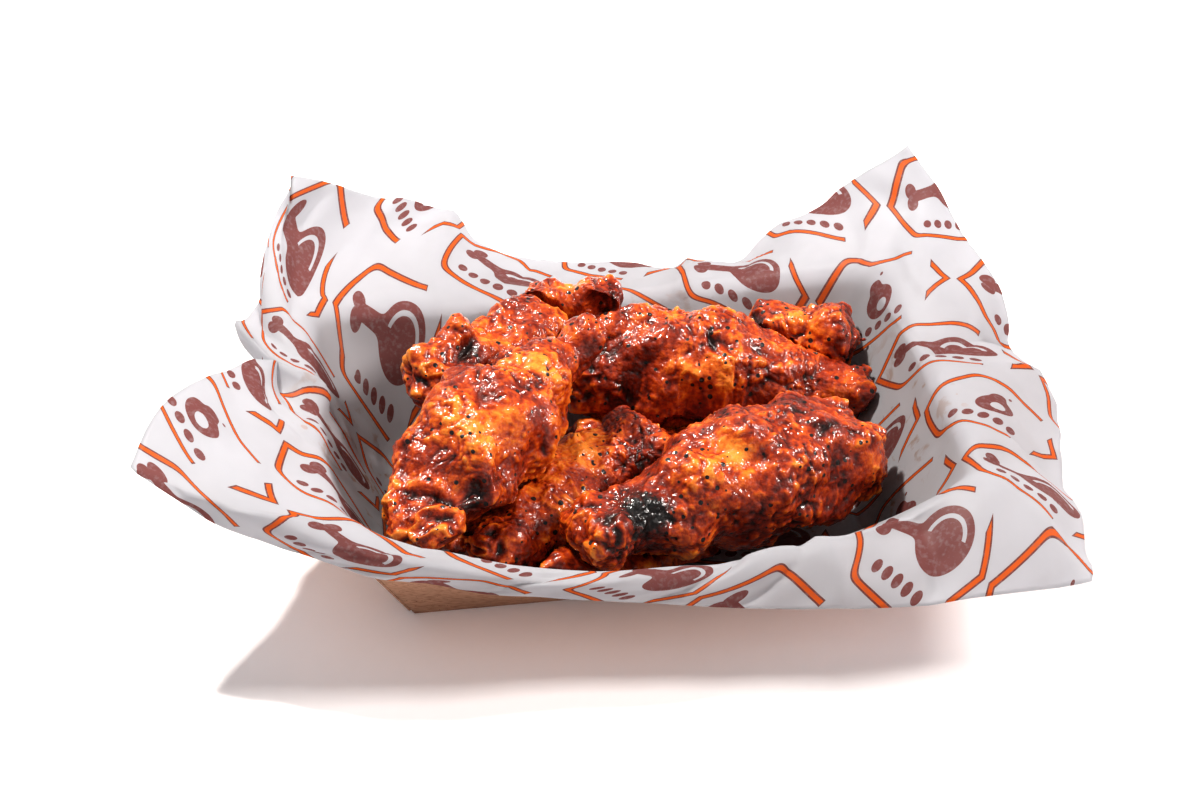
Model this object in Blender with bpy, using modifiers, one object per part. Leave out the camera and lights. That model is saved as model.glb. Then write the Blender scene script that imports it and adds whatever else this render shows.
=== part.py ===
"""A serving of saucy chicken wings in a paperboard tray lined with one sheet of deli paper.

Sizes are in millimetres and the meshes are scaled to metres as they are made. The tray's
underside is at z = 0, its long side runs along X and its front faces -Y.
"""

import bmesh
import bpy
import numpy as np

MM = 0.001

# Tray: a flat base and four slanted walls, the long ones pushed outwards by the food.
BASE_LENGTH = 130.0
BASE_WIDTH = 80.0
WALL_SLANT = 42.0
CORNER_FLARE = 20.0
WALL_BOW = (13.0, 1.5, 9.0, 2.0)
BOARD = 0.7
COLUMNS_LONG = 14
COLUMNS_SHORT = 8
TRAY_RINGS = (1.0, 0.66, 0.33, 0.0)

# Paper: a sheet 273 by 203 mm that rests in the tray, crests over the rim and flares out.
PAPER = 0.6
PAPER_HEIGHT = 1.4
PAPER_INSET = 1.2
PAPER_FLOOR_INSET = 2.5
CREST_LIFT = 2.6
CREST_CORNER_LIFT = 3.0
CREST_OUT = 0.8
CORNER_ROUNDING = 5
PAPER_LONG = 18
PAPER_SHORT = 14
FLOOR_RINGS = (0.5, 0.96)
WALL_RINGS = (0.05, 0.4, 0.8)
FLAP_RINGS = (0.25, 0.5, 0.75, 1.0)
FLAP_ARCH = 0.35

# Edge of the sheet, side by side from its front left corner; each side starts at a corner.
PAPER_EDGE = (
    ((-138, -46, 56), (-109, -66, 44), (-62, -78, 32), (-21, -82, 27), (21, -85, 22),
     (57, -90, 22), (83, -92, 24)),
    ((107, -90, 24), (116, -50, 25), (122, -15, 23), (125, 5, 19), (119, 45, 39),
     (108, 75, 57)),
    ((101, 90, 67), (76, 94, 48), (52, 95, 33), (43, 92, 31), (14, 97, 31), (-9, 105, 30),
     (-28, 115, 33), (-37, 119, 42)),
    ((-88, 100, 64), (-97, 70, 53), (-105, 40, 43), (-97, 26, 44), (-102, 15, 52),
     (-118, -10, 61), (-131, -30, 63)),
)

# Wings: blended round cones, each wing clear of the paper and of the wings laid before it.
BLEND = 2.6
WING_GAP = 1.6
WING_FLOOR = 2.6
WALL_CLEARANCE = 3.6
CORNER_BLEND = 6.0
LUMP_HEIGHT = 0.45
LUMP_WAVES = 6
LUMP_LENGTH = (11, 24)
RINGS_CAP = 5
RINGS_BODY = 12
RINGS_AROUND = 20
SPINE = (0.2, 0.85)
TRACE_STEPS = 48
TRACE_SHARE = 0.7
REACH = 34.0
SHORTEST = 0.3
STEP_AROUND = 3.3
STEP_ALONG = 4.6

CORNERS = np.array([(-1, -1), (1, -1), (1, 1), (-1, 1)], float)


def clear_scene():
    for item in list(bpy.data.objects):
        bpy.data.objects.remove(item, do_unlink=True)


def make_collection(name):
    collection = bpy.data.collections.new(name)
    bpy.context.scene.collection.children.link(collection)
    return collection


def make_material(name, colour, roughness):
    material = bpy.data.materials.new(name)
    material.use_nodes = True
    shader = material.node_tree.nodes["Principled BSDF"]
    shader.inputs["Base Color"].default_value = (*colour, 1.0)
    shader.inputs["Roughness"].default_value = roughness
    shader.inputs["Metallic"].default_value = 0.0
    material.diffuse_color = (*colour, 1.0)
    return material


def make_object(name, points, faces, material, collection):
    mesh = bpy.data.meshes.new(name)
    mesh.from_pydata((np.asarray(points) * MM).tolist(), [], faces)
    mesh.materials.append(material)
    item = bpy.data.objects.new(name, mesh)
    collection.objects.link(item)
    return item


def solidify(item, thickness, offset):
    shell = item.modifiers.new("Thickness", "SOLIDIFY")
    shell.thickness = thickness * MM
    shell.offset = offset
    shell.use_even_offset = True


def grid_faces(rows, columns, first=0):
    """Triangles between closed rings of points, each ring counter-clockwise from above."""
    faces = []
    for row in range(rows - 1):
        for column in range(columns):
            after = (column + 1) % columns
            a = first + row * columns + column
            b = first + row * columns + after
            c = b + columns
            d = a + columns
            faces += [(a, d, c), (a, c, b)]
    return faces


def side_stations(long_count, short_count):
    """Stations round the tray: the side in the whole part, the way along it in the fraction."""
    stations = []
    for side in range(4):
        count = long_count if side % 2 == 0 else short_count
        stations += [side + step / count for step in range(count)]
    return np.array(stations)


def wall_points(stations, height, inset=0.0):
    """Points on the walls at a share of their height, moved off the board by the inset."""
    side = np.floor(stations).astype(int) % 4
    along = (stations - np.floor(stations))[:, None]
    start = CORNERS[side] * (BASE_LENGTH / 2, BASE_WIDTH / 2)
    stop = CORNERS[(side + 1) % 4] * (BASE_LENGTH / 2, BASE_WIDTH / 2)
    run = (stop - start) / np.linalg.norm(stop - start, axis=1, keepdims=True)
    out = np.stack([run[:, 1], -run[:, 0]], axis=1)
    flare = CORNER_FLARE + np.array(WALL_BOW)[side][:, None] * 4 * along * (1 - along)
    rise = np.sqrt(WALL_SLANT ** 2 - flare ** 2)
    spread = (2 * along - 1) * CORNER_FLARE * height
    flat = start + along * (stop - start) + run * spread + out * flare * height
    flat = flat - out * rise / WALL_SLANT * inset
    level = BOARD + rise * height + flare / WALL_SLANT * inset
    return np.hstack([flat, level])


def build_tray(collection):
    material = make_material("kraft_board", (0.26, 0.15, 0.08), 0.8)
    stations = side_stations(COLUMNS_LONG, COLUMNS_SHORT)
    columns = len(stations)
    rings = [wall_points(stations, height) for height in TRAY_RINGS]
    points = np.vstack(rings + [np.array([[0, 0, BOARD]])])
    faces = grid_faces(len(rings), columns)
    base = (len(rings) - 1) * columns
    centre = len(points) - 1
    faces += [(base + step, centre, base + (step + 1) % columns) for step in range(columns)]
    item = make_object("kraft_tray", points, faces, material, collection)
    solidify(item, BOARD, 1.0)


def smooth_ring(points, passes):
    for _ in range(passes):
        points = (np.roll(points, 1, axis=0) + 2 * points + np.roll(points, -1, axis=0)) / 4
    return points


def edge_curve(anchors, steps):
    """Points at equal lengths along a smooth curve through the anchors."""
    anchors = np.array(anchors, float)
    before = np.vstack([2 * anchors[:1] - anchors[1:2], anchors[:-1]])
    after = np.vstack([anchors[1:], 2 * anchors[-1:] - anchors[-2:-1]])
    slope = (after - before) / 2
    share = np.linspace(0, 1, 12, endpoint=False)[:, None]
    fine = []
    for start, stop, leave, arrive in zip(anchors[:-1], anchors[1:], slope[:-1], slope[1:]):
        fine.append((2 * share ** 3 - 3 * share ** 2 + 1) * start
                    + (share ** 3 - 2 * share ** 2 + share) * leave
                    + (3 * share ** 2 - 2 * share ** 3) * stop
                    + (share ** 3 - share ** 2) * arrive)
    fine = np.vstack(fine + [anchors[-1:]])
    length = np.append(0, np.cumsum(np.linalg.norm(np.diff(fine, axis=0), axis=1)))
    wanted = np.linspace(0, length[-1], steps, endpoint=False)
    return np.stack([np.interp(wanted, length, fine[:, axis]) for axis in range(3)], axis=1)


def paper_rings():
    """Rings of the sheet from the middle of the floor, up the walls and out to its edge."""
    stations = side_stations(PAPER_LONG, PAPER_SHORT)
    floor = wall_points(stations, 0.0)
    floor[:, :2] -= np.sign(floor[:, :2]) * PAPER_FLOOR_INSET
    floor = smooth_ring(floor, CORNER_ROUNDING)
    floor[:, 2] = PAPER_HEIGHT
    rings = [floor * (share, share, 1) for share in FLOOR_RINGS]
    for height in WALL_RINGS:
        wall = smooth_ring(wall_points(stations, height, PAPER_INSET), CORNER_ROUNDING)
        wall[:, 2] = np.maximum(wall[:, 2], PAPER_HEIGHT)
        rings.append(wall)
    rim = wall_points(stations, 1.0)
    corner = np.abs(2 * (stations % 1.0) - 1)[:, None] ** 6
    outward = rim * (1, 1, 0) / np.linalg.norm(rim[:, :2], axis=1, keepdims=True)
    crest = rim + outward * CREST_OUT
    crest[:, 2:] += CREST_LIFT + CREST_CORNER_LIFT * corner
    crest = smooth_ring(crest, 2)
    edge = []
    for side, steps in enumerate((PAPER_LONG, PAPER_SHORT, PAPER_LONG, PAPER_SHORT)):
        anchors = PAPER_EDGE[side] + PAPER_EDGE[(side + 1) % 4][:1]
        edge.append(edge_curve(anchors, steps))
    edge = np.vstack(edge)
    reach = np.linalg.norm(edge - crest, axis=1, keepdims=True)
    arch = crest + (outward + (0, 0, 0.35)) * reach * FLAP_ARCH
    rings.append(crest)
    for share in FLAP_RINGS:
        rings.append((1 - share) ** 2 * crest + 2 * share * (1 - share) * arch + share ** 2 * edge)
    return rings


def build_paper(collection):
    material = make_material("deli_paper", (0.88, 0.86, 0.83), 0.6)
    rings = paper_rings()
    columns = len(rings[0])
    middle = np.array([[0, 0, PAPER_HEIGHT]])
    points = np.vstack([middle] + rings)
    faces = [(0, 1 + step, 1 + (step + 1) % columns) for step in range(columns)]
    faces += grid_faces(len(rings), columns, first=1)
    item = make_object("deli_paper", points, faces, material, collection)
    solidify(item, PAPER, 0.0)


def drumette(length, meat, neck, knob, lumps=(), twist=0.0):
    """Cones of an upper wing joint: cut end, round meat, narrow neck and two-lobed knuckle.

    The twist, in degrees, turns the knuckle's lobes about the length.
    """
    turn = np.radians(twist)
    lobes = [(across * np.cos(turn) - up * np.sin(turn), across * np.sin(turn) + up * np.cos(turn))
             for across, up in ((0.35, 0.1), (-0.4, -0.1))]
    cones = [
        ((0.12, 0.0, -0.1), meat * 0.6, (0.30, 0.05, 0.0), meat * 0.88),
        ((0.30, 0.0, 0.0), meat * 0.9, (0.46, 0.0, 0.05), meat),
        ((0.46, 0.0, 0.05), meat * 0.98, (0.66, 0.0, 0.0), (meat + neck) * 0.52),
        ((0.66, 0.0, 0.0), (meat + neck) * 0.5, (0.82, 0.0, 0.0), neck),
        ((0.82, 0.0, 0.0), neck, (0.94, 0.0, 0.0), neck * 0.95),
        ((0.95, *lobes[0]), knob, (0.95, *lobes[0]), knob),
        ((0.94, *lobes[1]), knob * 0.9, (0.94, *lobes[1]), knob * 0.9),
    ]
    return cones + list(lumps), length, meat


def flat(length, wide, bone, knob, lumps=()):
    """Cones of a middle wing joint: two bones side by side under skin, a knuckle at each end."""
    side = 0.5
    cones = [
        ((0.12, side, 0.0), bone * 0.92, (0.88, side * 0.8, 0.0), bone * 0.78),
        ((0.12, -side, 0.0), bone, (0.88, -side * 0.7, 0.0), bone * 0.82),
        ((0.22, 0.0, 0.0), bone * 0.85, (0.8, 0.0, 0.0), bone * 0.72),
        ((0.06, side * 1.1, 0.05), knob, (0.06, side * 0.7, 0.05), knob),
        ((0.07, -side * 1.1, -0.05), knob * 1.05, (0.07, -side * 0.7, 0.0), knob),
        ((0.94, side * 0.8, 0.0), knob * 0.9, (0.94, side * 0.5, 0.05), knob * 0.85),
        ((0.95, -side * 0.8, 0.05), knob * 0.85, (0.94, -side * 0.4, 0.0), knob * 0.85),
    ]
    return cones + list(lumps), length, wide


# Lumps of torn meat and skin: place along, across and up as shares, then the radius.
FRONT_LEFT_FLAP = (
    ((-0.02, 0.30, -0.15), 8.0, (0.06, 0.55, 0.0), 7.5),
    ((0.0, -0.25, 0.1), 7.0, (0.16, -0.4, 0.2), 8.0),
    ((0.26, 0.5, 0.0), 12.0, (0.46, 0.45, 0.0), 12.5),
)
FRONT_RIGHT_CUT = (
    ((0.04, 0.5, 0.55), 6.0, (0.2, 0.35, 0.5), 9.0),
    ((0.06, -0.4, 0.25), 7.5, (0.2, -0.45, 0.1), 9.0),
    ((0.08, 0.45, -0.15), 11.0, (0.3, 0.4, -0.2), 14.0),
)
MIDDLE_CUT = (
    ((0.01, -0.45, -0.25), 6.0, (0.1, -0.3, -0.2), 7.0),
    ((0.02, 0.35, 0.65), 6.5, (0.2, 0.3, 0.6), 7.0),
    ((0.34, 0.45, 0.5), 8.5, (0.48, 0.4, 0.4), 8.0),
    ((0.06, -0.25, -0.65), 9.5, (0.3, -0.2, -0.7), 11.0),
)
BACK_LEFT_LUMPS = (
    ((0.32, 0.5, 1.15), 4.6, (0.3, 0.5, 0.7), 6.0),
)
BACK_RIGHT_LUMPS = (
    ((0.2, 0.1, 0.6), 6.0, (0.3, 0.0, 0.6), 6.0),
    ((0.62, 0.0, 0.65), 6.5, (0.75, 0.1, 0.6), 6.0),
)

# Name, build, first end, last end, turn about the length in degrees and sideways bend, in
# laying order.
WINGS = (
    ("drumette_front_left", drumette(86, 16.4, 6.2, 5.6, FRONT_LEFT_FLAP, -76.0),
     (-62, -48, 32), (-7, 15, 54), 20, 4.0),
    ("drumette_front_right", drumette(94, 19.0, 9.4, 7.8, FRONT_RIGHT_CUT),
     (65, -9, 27), (-21, -50, 25), -10, 0.0),
    ("drumette_middle_right", drumette(88, 16.0, 6.4, 5.8, MIDDLE_CUT, -30.0),
     (-8, 36, 33), (79, 23, 20), 0, 0.0),
    ("flat_centre", flat(72, 13.0, 10.2, 8.4), (-50, -40, 20), (8, 6, 22), 20, 0.0),
    ("flat_back_left", flat(50, 10.0, 7.4, 7.0, BACK_LEFT_LUMPS),
     (-54, 10, 41), (-22, 42, 41), 15, 0.0),
    ("flat_back_top", flat(23, 7.0, 5.8, 5.8), (-20, 57, 38), (-4, 51, 43), -30, 0.0),
    ("flat_back_right", flat(38, 10.0, 7.4, 7.0, BACK_RIGHT_LUMPS),
     (46, 47, 27), (75, 40, 29), 30, 0.0),
    ("flat_under_front", flat(60, 12.0, 7.6, 6.6), (-35, -44, 12), (24, -22, 9), 10, 0.0),
    ("flat_under_back", flat(56, 13.0, 8.0, 7.0), (-12, 22, 12), (41, 0, 10), 0, 0.0),
    ("flat_under_left", flat(48, 11.0, 9.0, 7.8), (-55, -8, 17), (-34, 34, 19), 0, 0.0),
)


def wing_frame(start, stop, turn):
    """Axes of a wing: along its length, across it and up, turned about the length."""
    along = np.subtract(stop, start) / np.linalg.norm(np.subtract(stop, start))
    across = np.cross((0, 0, 1), along)
    across /= np.linalg.norm(across)
    up = np.cross(along, across)
    angle = np.radians(turn)
    return np.array([along,
                     across * np.cos(angle) + up * np.sin(angle),
                     up * np.cos(angle) - across * np.sin(angle)])


def lump_waves(seed):
    rng = np.random.default_rng(seed)
    direction = rng.normal(size=(LUMP_WAVES, 3))
    direction /= np.linalg.norm(direction, axis=1, keepdims=True)
    wavelength = rng.uniform(*LUMP_LENGTH, LUMP_WAVES)
    return direction * (2 * np.pi / wavelength)[:, None], rng.uniform(0, 2 * np.pi, LUMP_WAVES)


def wing_place(wing, share, offset=(0.0, 0.0)):
    """World points along the wing's bent spine, moved across it and up by the offset."""
    _, (_, length, wide), start, stop, turn, bend = wing
    frame = wing_frame(start, stop, turn)
    level = wing_frame(start, stop, 0.0)
    share = np.atleast_1d(share)[:, None]
    bow = 4 * share * (1 - share) * bend
    return (np.array(start) + share * length * frame[0] + bow * level[1]
            + offset[0] * wide * frame[1] + offset[1] * wide * frame[2])


def wing_cones(wing):
    """The wing's cones in world millimetres."""
    return [(wing_place(wing, a[0], a[1:])[0], ra, wing_place(wing, b[0], b[1:])[0], rb)
            for a, ra, b, rb in wing[1][0]]


def wing_depth(points, cones, waves):
    """Distance outside the blended cones, negative within; two equal cones keep their size."""
    total = np.zeros(points.shape[:-1])
    for a, ra, b, rb in cones:
        axis = b - a
        share = np.clip((points - a) @ axis / max(axis @ axis, 1e-9), 0, 1)
        gap = points - a - share[..., None] * axis
        near = np.sqrt(np.sum(gap ** 2, axis=-1)) - ra - share * (rb - ra)
        total += np.exp(np.clip(-near / BLEND, -60, 60))
    vectors, phases = waves
    lumps = np.sin(points @ vectors.T + phases).sum(axis=-1) * LUMP_HEIGHT
    return -BLEND * np.log(total / 2) + lumps


def hollow_depth(points):
    """Distance inside the lined tray, negative in the paper or the board."""
    x, y, z = points[..., 0], points[..., 1], points[..., 2]
    room = z - WING_FLOOR
    z = z - BOARD
    walls = np.zeros(x.shape)
    half = (BASE_LENGTH / 2, BASE_WIDTH / 2)
    reach = CORNER_FLARE / WALL_SLANT
    spans = ((-y, x, half[1], half[0], WALL_BOW[0]), (x, y, half[0], half[1], WALL_BOW[1]),
             (y, x, half[1], half[0], WALL_BOW[2]), (-x, y, half[0], half[1], WALL_BOW[3]))
    for out, side, near, wide, bow in spans:
        share = np.clip(side / (wide + reach * np.clip(z, 0, None)), -1, 1)
        flare = CORNER_FLARE + bow * (1 - share ** 2)
        rise = np.sqrt(WALL_SLANT ** 2 - flare ** 2)
        gap = ((near - out) * rise + z * flare) / WALL_SLANT - WALL_CLEARANCE
        walls += np.exp(np.clip(-gap / CORNER_BLEND, -60, 60))
    return np.minimum(room, -CORNER_BLEND * np.log(walls))


def spine_rays(wing):
    """Rays that leave the wing's spine sideways along it and fan out over its two ends."""
    frame = wing_frame(wing[2], wing[3], wing[4])
    tilt = np.linspace(0, np.pi / 2, RINGS_CAP + 1)[1:]
    along = np.linspace(*SPINE, RINGS_BODY + 2)[1:-1]
    share = np.concatenate([np.full(RINGS_CAP, SPINE[0]), along, np.full(RINGS_CAP, SPINE[1])])
    lean = np.concatenate([-np.cos(tilt), np.zeros(RINGS_BODY), np.cos(tilt[::-1])])
    turns = np.linspace(0, 2 * np.pi, RINGS_AROUND, endpoint=False)
    ring = np.stack([np.zeros(RINGS_AROUND), np.cos(turns), np.sin(turns)], axis=1)
    body = np.sqrt(1 - lean ** 2)[:, None, None] * ring + lean[:, None, None] * (1, 0, 0)
    rays = np.concatenate([[(-1.0, 0, 0)], body.reshape(-1, 3), [(1.0, 0, 0)]]) @ frame
    origins = wing_place(wing, np.concatenate([SPINE[:1], np.repeat(share, RINGS_AROUND),
                                               SPINE[1:]]))
    return origins, rays


def ease_steps(radius):
    """Shorten rays next to a much shorter one, so that no face cuts across a neighbour."""
    inner = radius[1:-1].reshape(-1, RINGS_AROUND)
    for _ in range(RINGS_AROUND):
        inner = np.minimum(inner, np.roll(inner, 1, axis=1) + STEP_AROUND)
        inner = np.minimum(inner, np.roll(inner, -1, axis=1) + STEP_AROUND)
        inner[1:] = np.minimum(inner[1:], inner[:-1] + STEP_ALONG)
        inner[:-1] = np.minimum(inner[:-1], inner[1:] + STEP_ALONG)
    first = min(radius[0], inner[0].mean() + STEP_AROUND)
    last = min(radius[-1], inner[-1].mean() + STEP_AROUND)
    return np.concatenate([[first], inner.ravel(), [last]])


def wing_surface(wing, field, laid):
    """Points where the spine's rays meet the skin, or stop short of the laid wings and paper."""
    origins, rays = spine_rays(wing)
    radius = np.full(len(rays), REACH)
    for _ in range(TRACE_STEPS):
        outside = wing_depth(origins + radius[:, None] * rays, *field)
        radius = np.clip(radius - TRACE_SHARE * outside, SHORTEST, REACH)
    limit = np.full(len(rays), SHORTEST)
    for _ in range(TRACE_STEPS):
        points = origins + limit[:, None] * rays
        room = hollow_depth(points)
        for other in laid:
            room = np.minimum(room, wing_depth(points, *other) - WING_GAP)
        limit = np.clip(limit + TRACE_SHARE * room, SHORTEST, REACH)
    radius = ease_steps(np.minimum(radius, limit))
    return origins + radius[:, None] * rays


def build_wings(collection):
    laid = []
    for wing in WINGS:
        material = make_material(wing[0] + "_skin", (0.45, 0.08, 0.015), 0.35)
        field = wing_cones(wing), lump_waves(len(laid))
        points = wing_surface(wing, field, laid)
        laid.append(field)
        rows = 2 * RINGS_CAP + RINGS_BODY
        last = len(points) - 1
        top = last - RINGS_AROUND
        faces = grid_faces(rows, RINGS_AROUND, first=1)
        for step in range(RINGS_AROUND):
            after = (step + 1) % RINGS_AROUND
            faces.append((0, 1 + step, 1 + after))
            faces.append((last, top + after, top + step))
        item = make_object(wing[0], points, faces, material, collection)
        fix = bmesh.new()
        fix.from_mesh(item.data)
        bmesh.ops.recalc_face_normals(fix, faces=fix.faces)
        fix.to_mesh(item.data)
        fix.free()
        item.data.shade_smooth()


def main():
    clear_scene()
    collection = make_collection("chicken_wings_serving")
    build_tray(collection)
    build_paper(collection)
    build_wings(collection)


main()
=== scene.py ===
# Glazed chicken wings in a folded kraft board tray, on one printed sheet of deli paper.
# Shapes are worked out in millimetres and turned to metres as their meshes are made.
import bpy
import math
import numpy as np
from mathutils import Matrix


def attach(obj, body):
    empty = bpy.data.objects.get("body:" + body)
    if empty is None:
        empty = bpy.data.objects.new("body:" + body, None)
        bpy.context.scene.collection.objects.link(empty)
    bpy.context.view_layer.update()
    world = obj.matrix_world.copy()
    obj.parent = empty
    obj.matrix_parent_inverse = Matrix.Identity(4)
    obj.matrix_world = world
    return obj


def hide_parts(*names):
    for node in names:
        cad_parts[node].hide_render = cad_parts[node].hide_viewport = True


mm = 0.001
# where most values of a noise texture lie
noiseRange = (0.3, 0.7)
rangeEnds = ("From Min", "From Max", "To Min", "To Max")


def toLinear(hexColour):
    # sRGB hex to linear red, green, blue and a full alpha
    parts = [int(hexColour[i:i + 2], 16) / 255 for i in (1, 3, 5)]
    return (*[p / 12.92 if p <= 0.04045 else ((p + 0.055) / 1.055) ** 2.4 for p in parts], 1.0)


def addNode(tree, kind, inputs=None, **settings):
    # a shader node with its settings, given as its outputs; each input takes a number, a colour, one
    # output of another node, or all of them where the first is meant
    node = tree.nodes.new("ShaderNode" + kind)
    for stop, (place, colour) in enumerate(settings.pop("stops", ())):
        ramp = node.color_ramp.elements
        element = ramp[stop] if stop < len(ramp) else ramp.new(place)
        element.position, element.color = place, toLinear(colour)
    for name, value in settings.items():
        setattr(node, name, value)
    for name, value in (inputs or {}).items():
        value = value[0] if isinstance(value, bpy.types.bpy_prop_collection) else value
        if isinstance(value, bpy.types.NodeSocket):
            tree.links.new(value, node.inputs[name])
        else:
            node.inputs[name].default_value = value
    return node.outputs


def newMaterial(name):
    material = bpy.data.materials.new(name)
    material.use_nodes = True
    material.node_tree.nodes.clear()
    return material, material.node_tree


def addObject(name, data):
    item = bpy.data.objects.new(name, data)
    bpy.context.scene.collection.objects.link(item)
    return item


def addPiece(name, points, faces, materials, standsFor):
    # millimetre points and a list of faces become a smooth mesh that rides on the root body
    mesh = bpy.data.meshes.new(name)
    mesh.from_pydata((points * mm).tolist(), [], faces)
    mesh.polygons.foreach_set("use_smooth", np.ones(len(faces), dtype=bool))
    for material in materials:
        mesh.materials.append(material)
    piece = addObject(name, mesh)
    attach(piece, "root")
    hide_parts(*standsFor)
    return piece


def addThickness(piece, name, thickness, **settings):
    # a surface becomes a shell
    shell = piece.modifiers.new(name, "SOLIDIFY")
    shell.thickness = thickness * mm
    for setting, value in settings.items():
        setattr(shell, setting, value)


def addValues(piece, name, values):
    # one number at each vertex, for the material to read
    layer = piece.data.attributes.new(name, "FLOAT", "POINT")
    layer.data.foreach_set("value", np.asarray(values, dtype=np.float32))


def ringFaces(rows, columns, first=0):
    # quads between closed rings of points, open at both ends
    row, column = np.meshgrid(np.arange(rows - 1), np.arange(columns), indexing="ij")
    a = first + row * columns + column
    b = first + row * columns + (column + 1) % columns
    return np.stack([a, b, b + columns, a + columns], axis=-1).reshape(-1, 4)


def fanFaces(centre, columns, first):
    # triangles from one point to a closed ring of points
    return [(centre, first + (step + 1) % columns, first + step) for step in range(columns)]


# noise on points in millimetres, the same each run
noiseSettings = {
    "factors": (73856093, 19349663, 83492791, 362437), "mixing": ((15, 2246822519), (13, 3266489917)),
    "offset": 1000.0, "word": 0xFFFFFFFF, "top": 0xFFFFFF,
}


def latticeValue(lattice, seed):
    # a repeatable number from 0 to 1 for each whole-number point: its coordinates and the seed times
    # large primes, combined bit by bit and mixed twice by a shift and a multiplication
    x, y, z, own = noiseSettings["factors"]
    mixed = (lattice[..., 0] * x) ^ (lattice[..., 1] * y) ^ (lattice[..., 2] * z) ^ (seed * own)
    mixed = mixed & noiseSettings["word"]
    for shift, factor in noiseSettings["mixing"]:
        mixed = ((mixed ^ (mixed >> shift)) * factor) & noiseSettings["word"]
    return ((mixed ^ (mixed >> 16)) & noiseSettings["top"]) / noiseSettings["top"]


def softNoise(points, size, seed):
    # lattice values between the eight corners of each cell, from -1 to 1; the share of each corner is
    # six fifth powers less fifteen fourths plus ten cubes of the place in the cell
    place = points / size + noiseSettings["offset"]
    corner = np.floor(place).astype(np.int64)
    part = place - corner
    part = part * part * part * (part * (part * 6 - 15) + 10)
    total = np.zeros(points.shape[:-1])
    for step in range(8):
        offset = np.array([step & 1, (step >> 1) & 1, (step >> 2) & 1])
        weight = np.prod(np.where(offset == 1, part, 1 - part), axis=-1)
        total += weight * latticeValue(corner + offset, seed)
    return total * 2 - 1


def layeredNoise(points, size, seed, layers=3):
    # soft noise at halving sizes and halving heights
    total, height = np.zeros(points.shape[:-1]), 1.0
    for layer in range(layers):
        total += height * softNoise(points, size / 2 ** layer, seed + layer)
        height *= 0.5
    return total


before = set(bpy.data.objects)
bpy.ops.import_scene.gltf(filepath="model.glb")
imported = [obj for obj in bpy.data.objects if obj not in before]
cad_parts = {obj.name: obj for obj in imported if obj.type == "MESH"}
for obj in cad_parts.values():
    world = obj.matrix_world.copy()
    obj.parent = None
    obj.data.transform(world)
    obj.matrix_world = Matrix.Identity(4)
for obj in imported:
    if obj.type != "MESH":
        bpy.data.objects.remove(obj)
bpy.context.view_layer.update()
print("frame loaded:", len(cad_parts), "nodes")


# camera, light and floor: each softbox is its direction, distance, size, power and colour
stageSettings = {
    "azimuth": -9.0, "elevation": 30.0, "distance": 900.0, "target": (-5.25, 17.5, 28.6),
    "lens": 94.5, "sensor": 36.0, "nearest": 10.0, "lit": (0.0, 0.0, 25.0),
    "softboxes": {
        "keySoftbox": ((-0.34, 0.36, 1.0), 2200.0, 150.0, 74.0, "#fffaf4"),
        "sideSoftbox": ((1.5, -0.2, 1.0), 2000.0, 420.0, 38.0, "#fff8f4"),
        "fillSoftbox": ((0.45, -1.0, 0.75), 1500.0, 900.0, 2.0, "#fff6f4"),
    },
    "skyStrength": 0.28, "floorSize": 9000.0, "table": "#f8f6f6", "glow": "#fff2f2", "tableGlow": 0.08,
    "tableRoughness": 0.95, "tableSpecular": 0.1,
}


def aimedFrom(place, target):
    # the turn that points an object's -Z from its place to the target
    away = np.array(place, float) - np.array(target, float)
    flat = math.hypot(away[0], away[1])
    return (math.atan2(flat, away[2]), 0.0, math.atan2(away[0], -away[1]))


def addCamera(settings):
    # the photo's own view: turned and lifted round its target
    lift, turn = math.radians(settings["elevation"]), math.radians(settings["azimuth"])
    back = np.array([math.sin(turn) * math.cos(lift), -math.cos(turn) * math.cos(lift), math.sin(lift)])
    place = np.array(settings["target"]) + back * settings["distance"]
    lens = bpy.data.cameras.new("photoCamera")
    lens.lens = settings["lens"]
    lens.sensor_width = settings["sensor"]
    lens.sensor_fit = "HORIZONTAL"
    lens.clip_start = settings["nearest"] * mm
    camera = addObject("photoCamera", lens)
    camera.location = place * mm
    camera.rotation_euler = (math.radians(90 - settings["elevation"]), 0.0, turn)
    bpy.context.scene.camera = camera


def addSoftbox(name, target, direction, distance, size, power, colour):
    # a square lamp that faces the middle of the serving
    lamp = bpy.data.lights.new(name, "AREA")
    lamp.shape = "SQUARE"
    lamp.size = size * mm
    lamp.energy = power
    lamp.color = toLinear(colour)[:3]
    place = target + np.array(direction) / np.linalg.norm(direction) * distance
    item = addObject(name, lamp)
    item.location = place * mm
    item.rotation_euler = aimedFrom(place, target)


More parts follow.
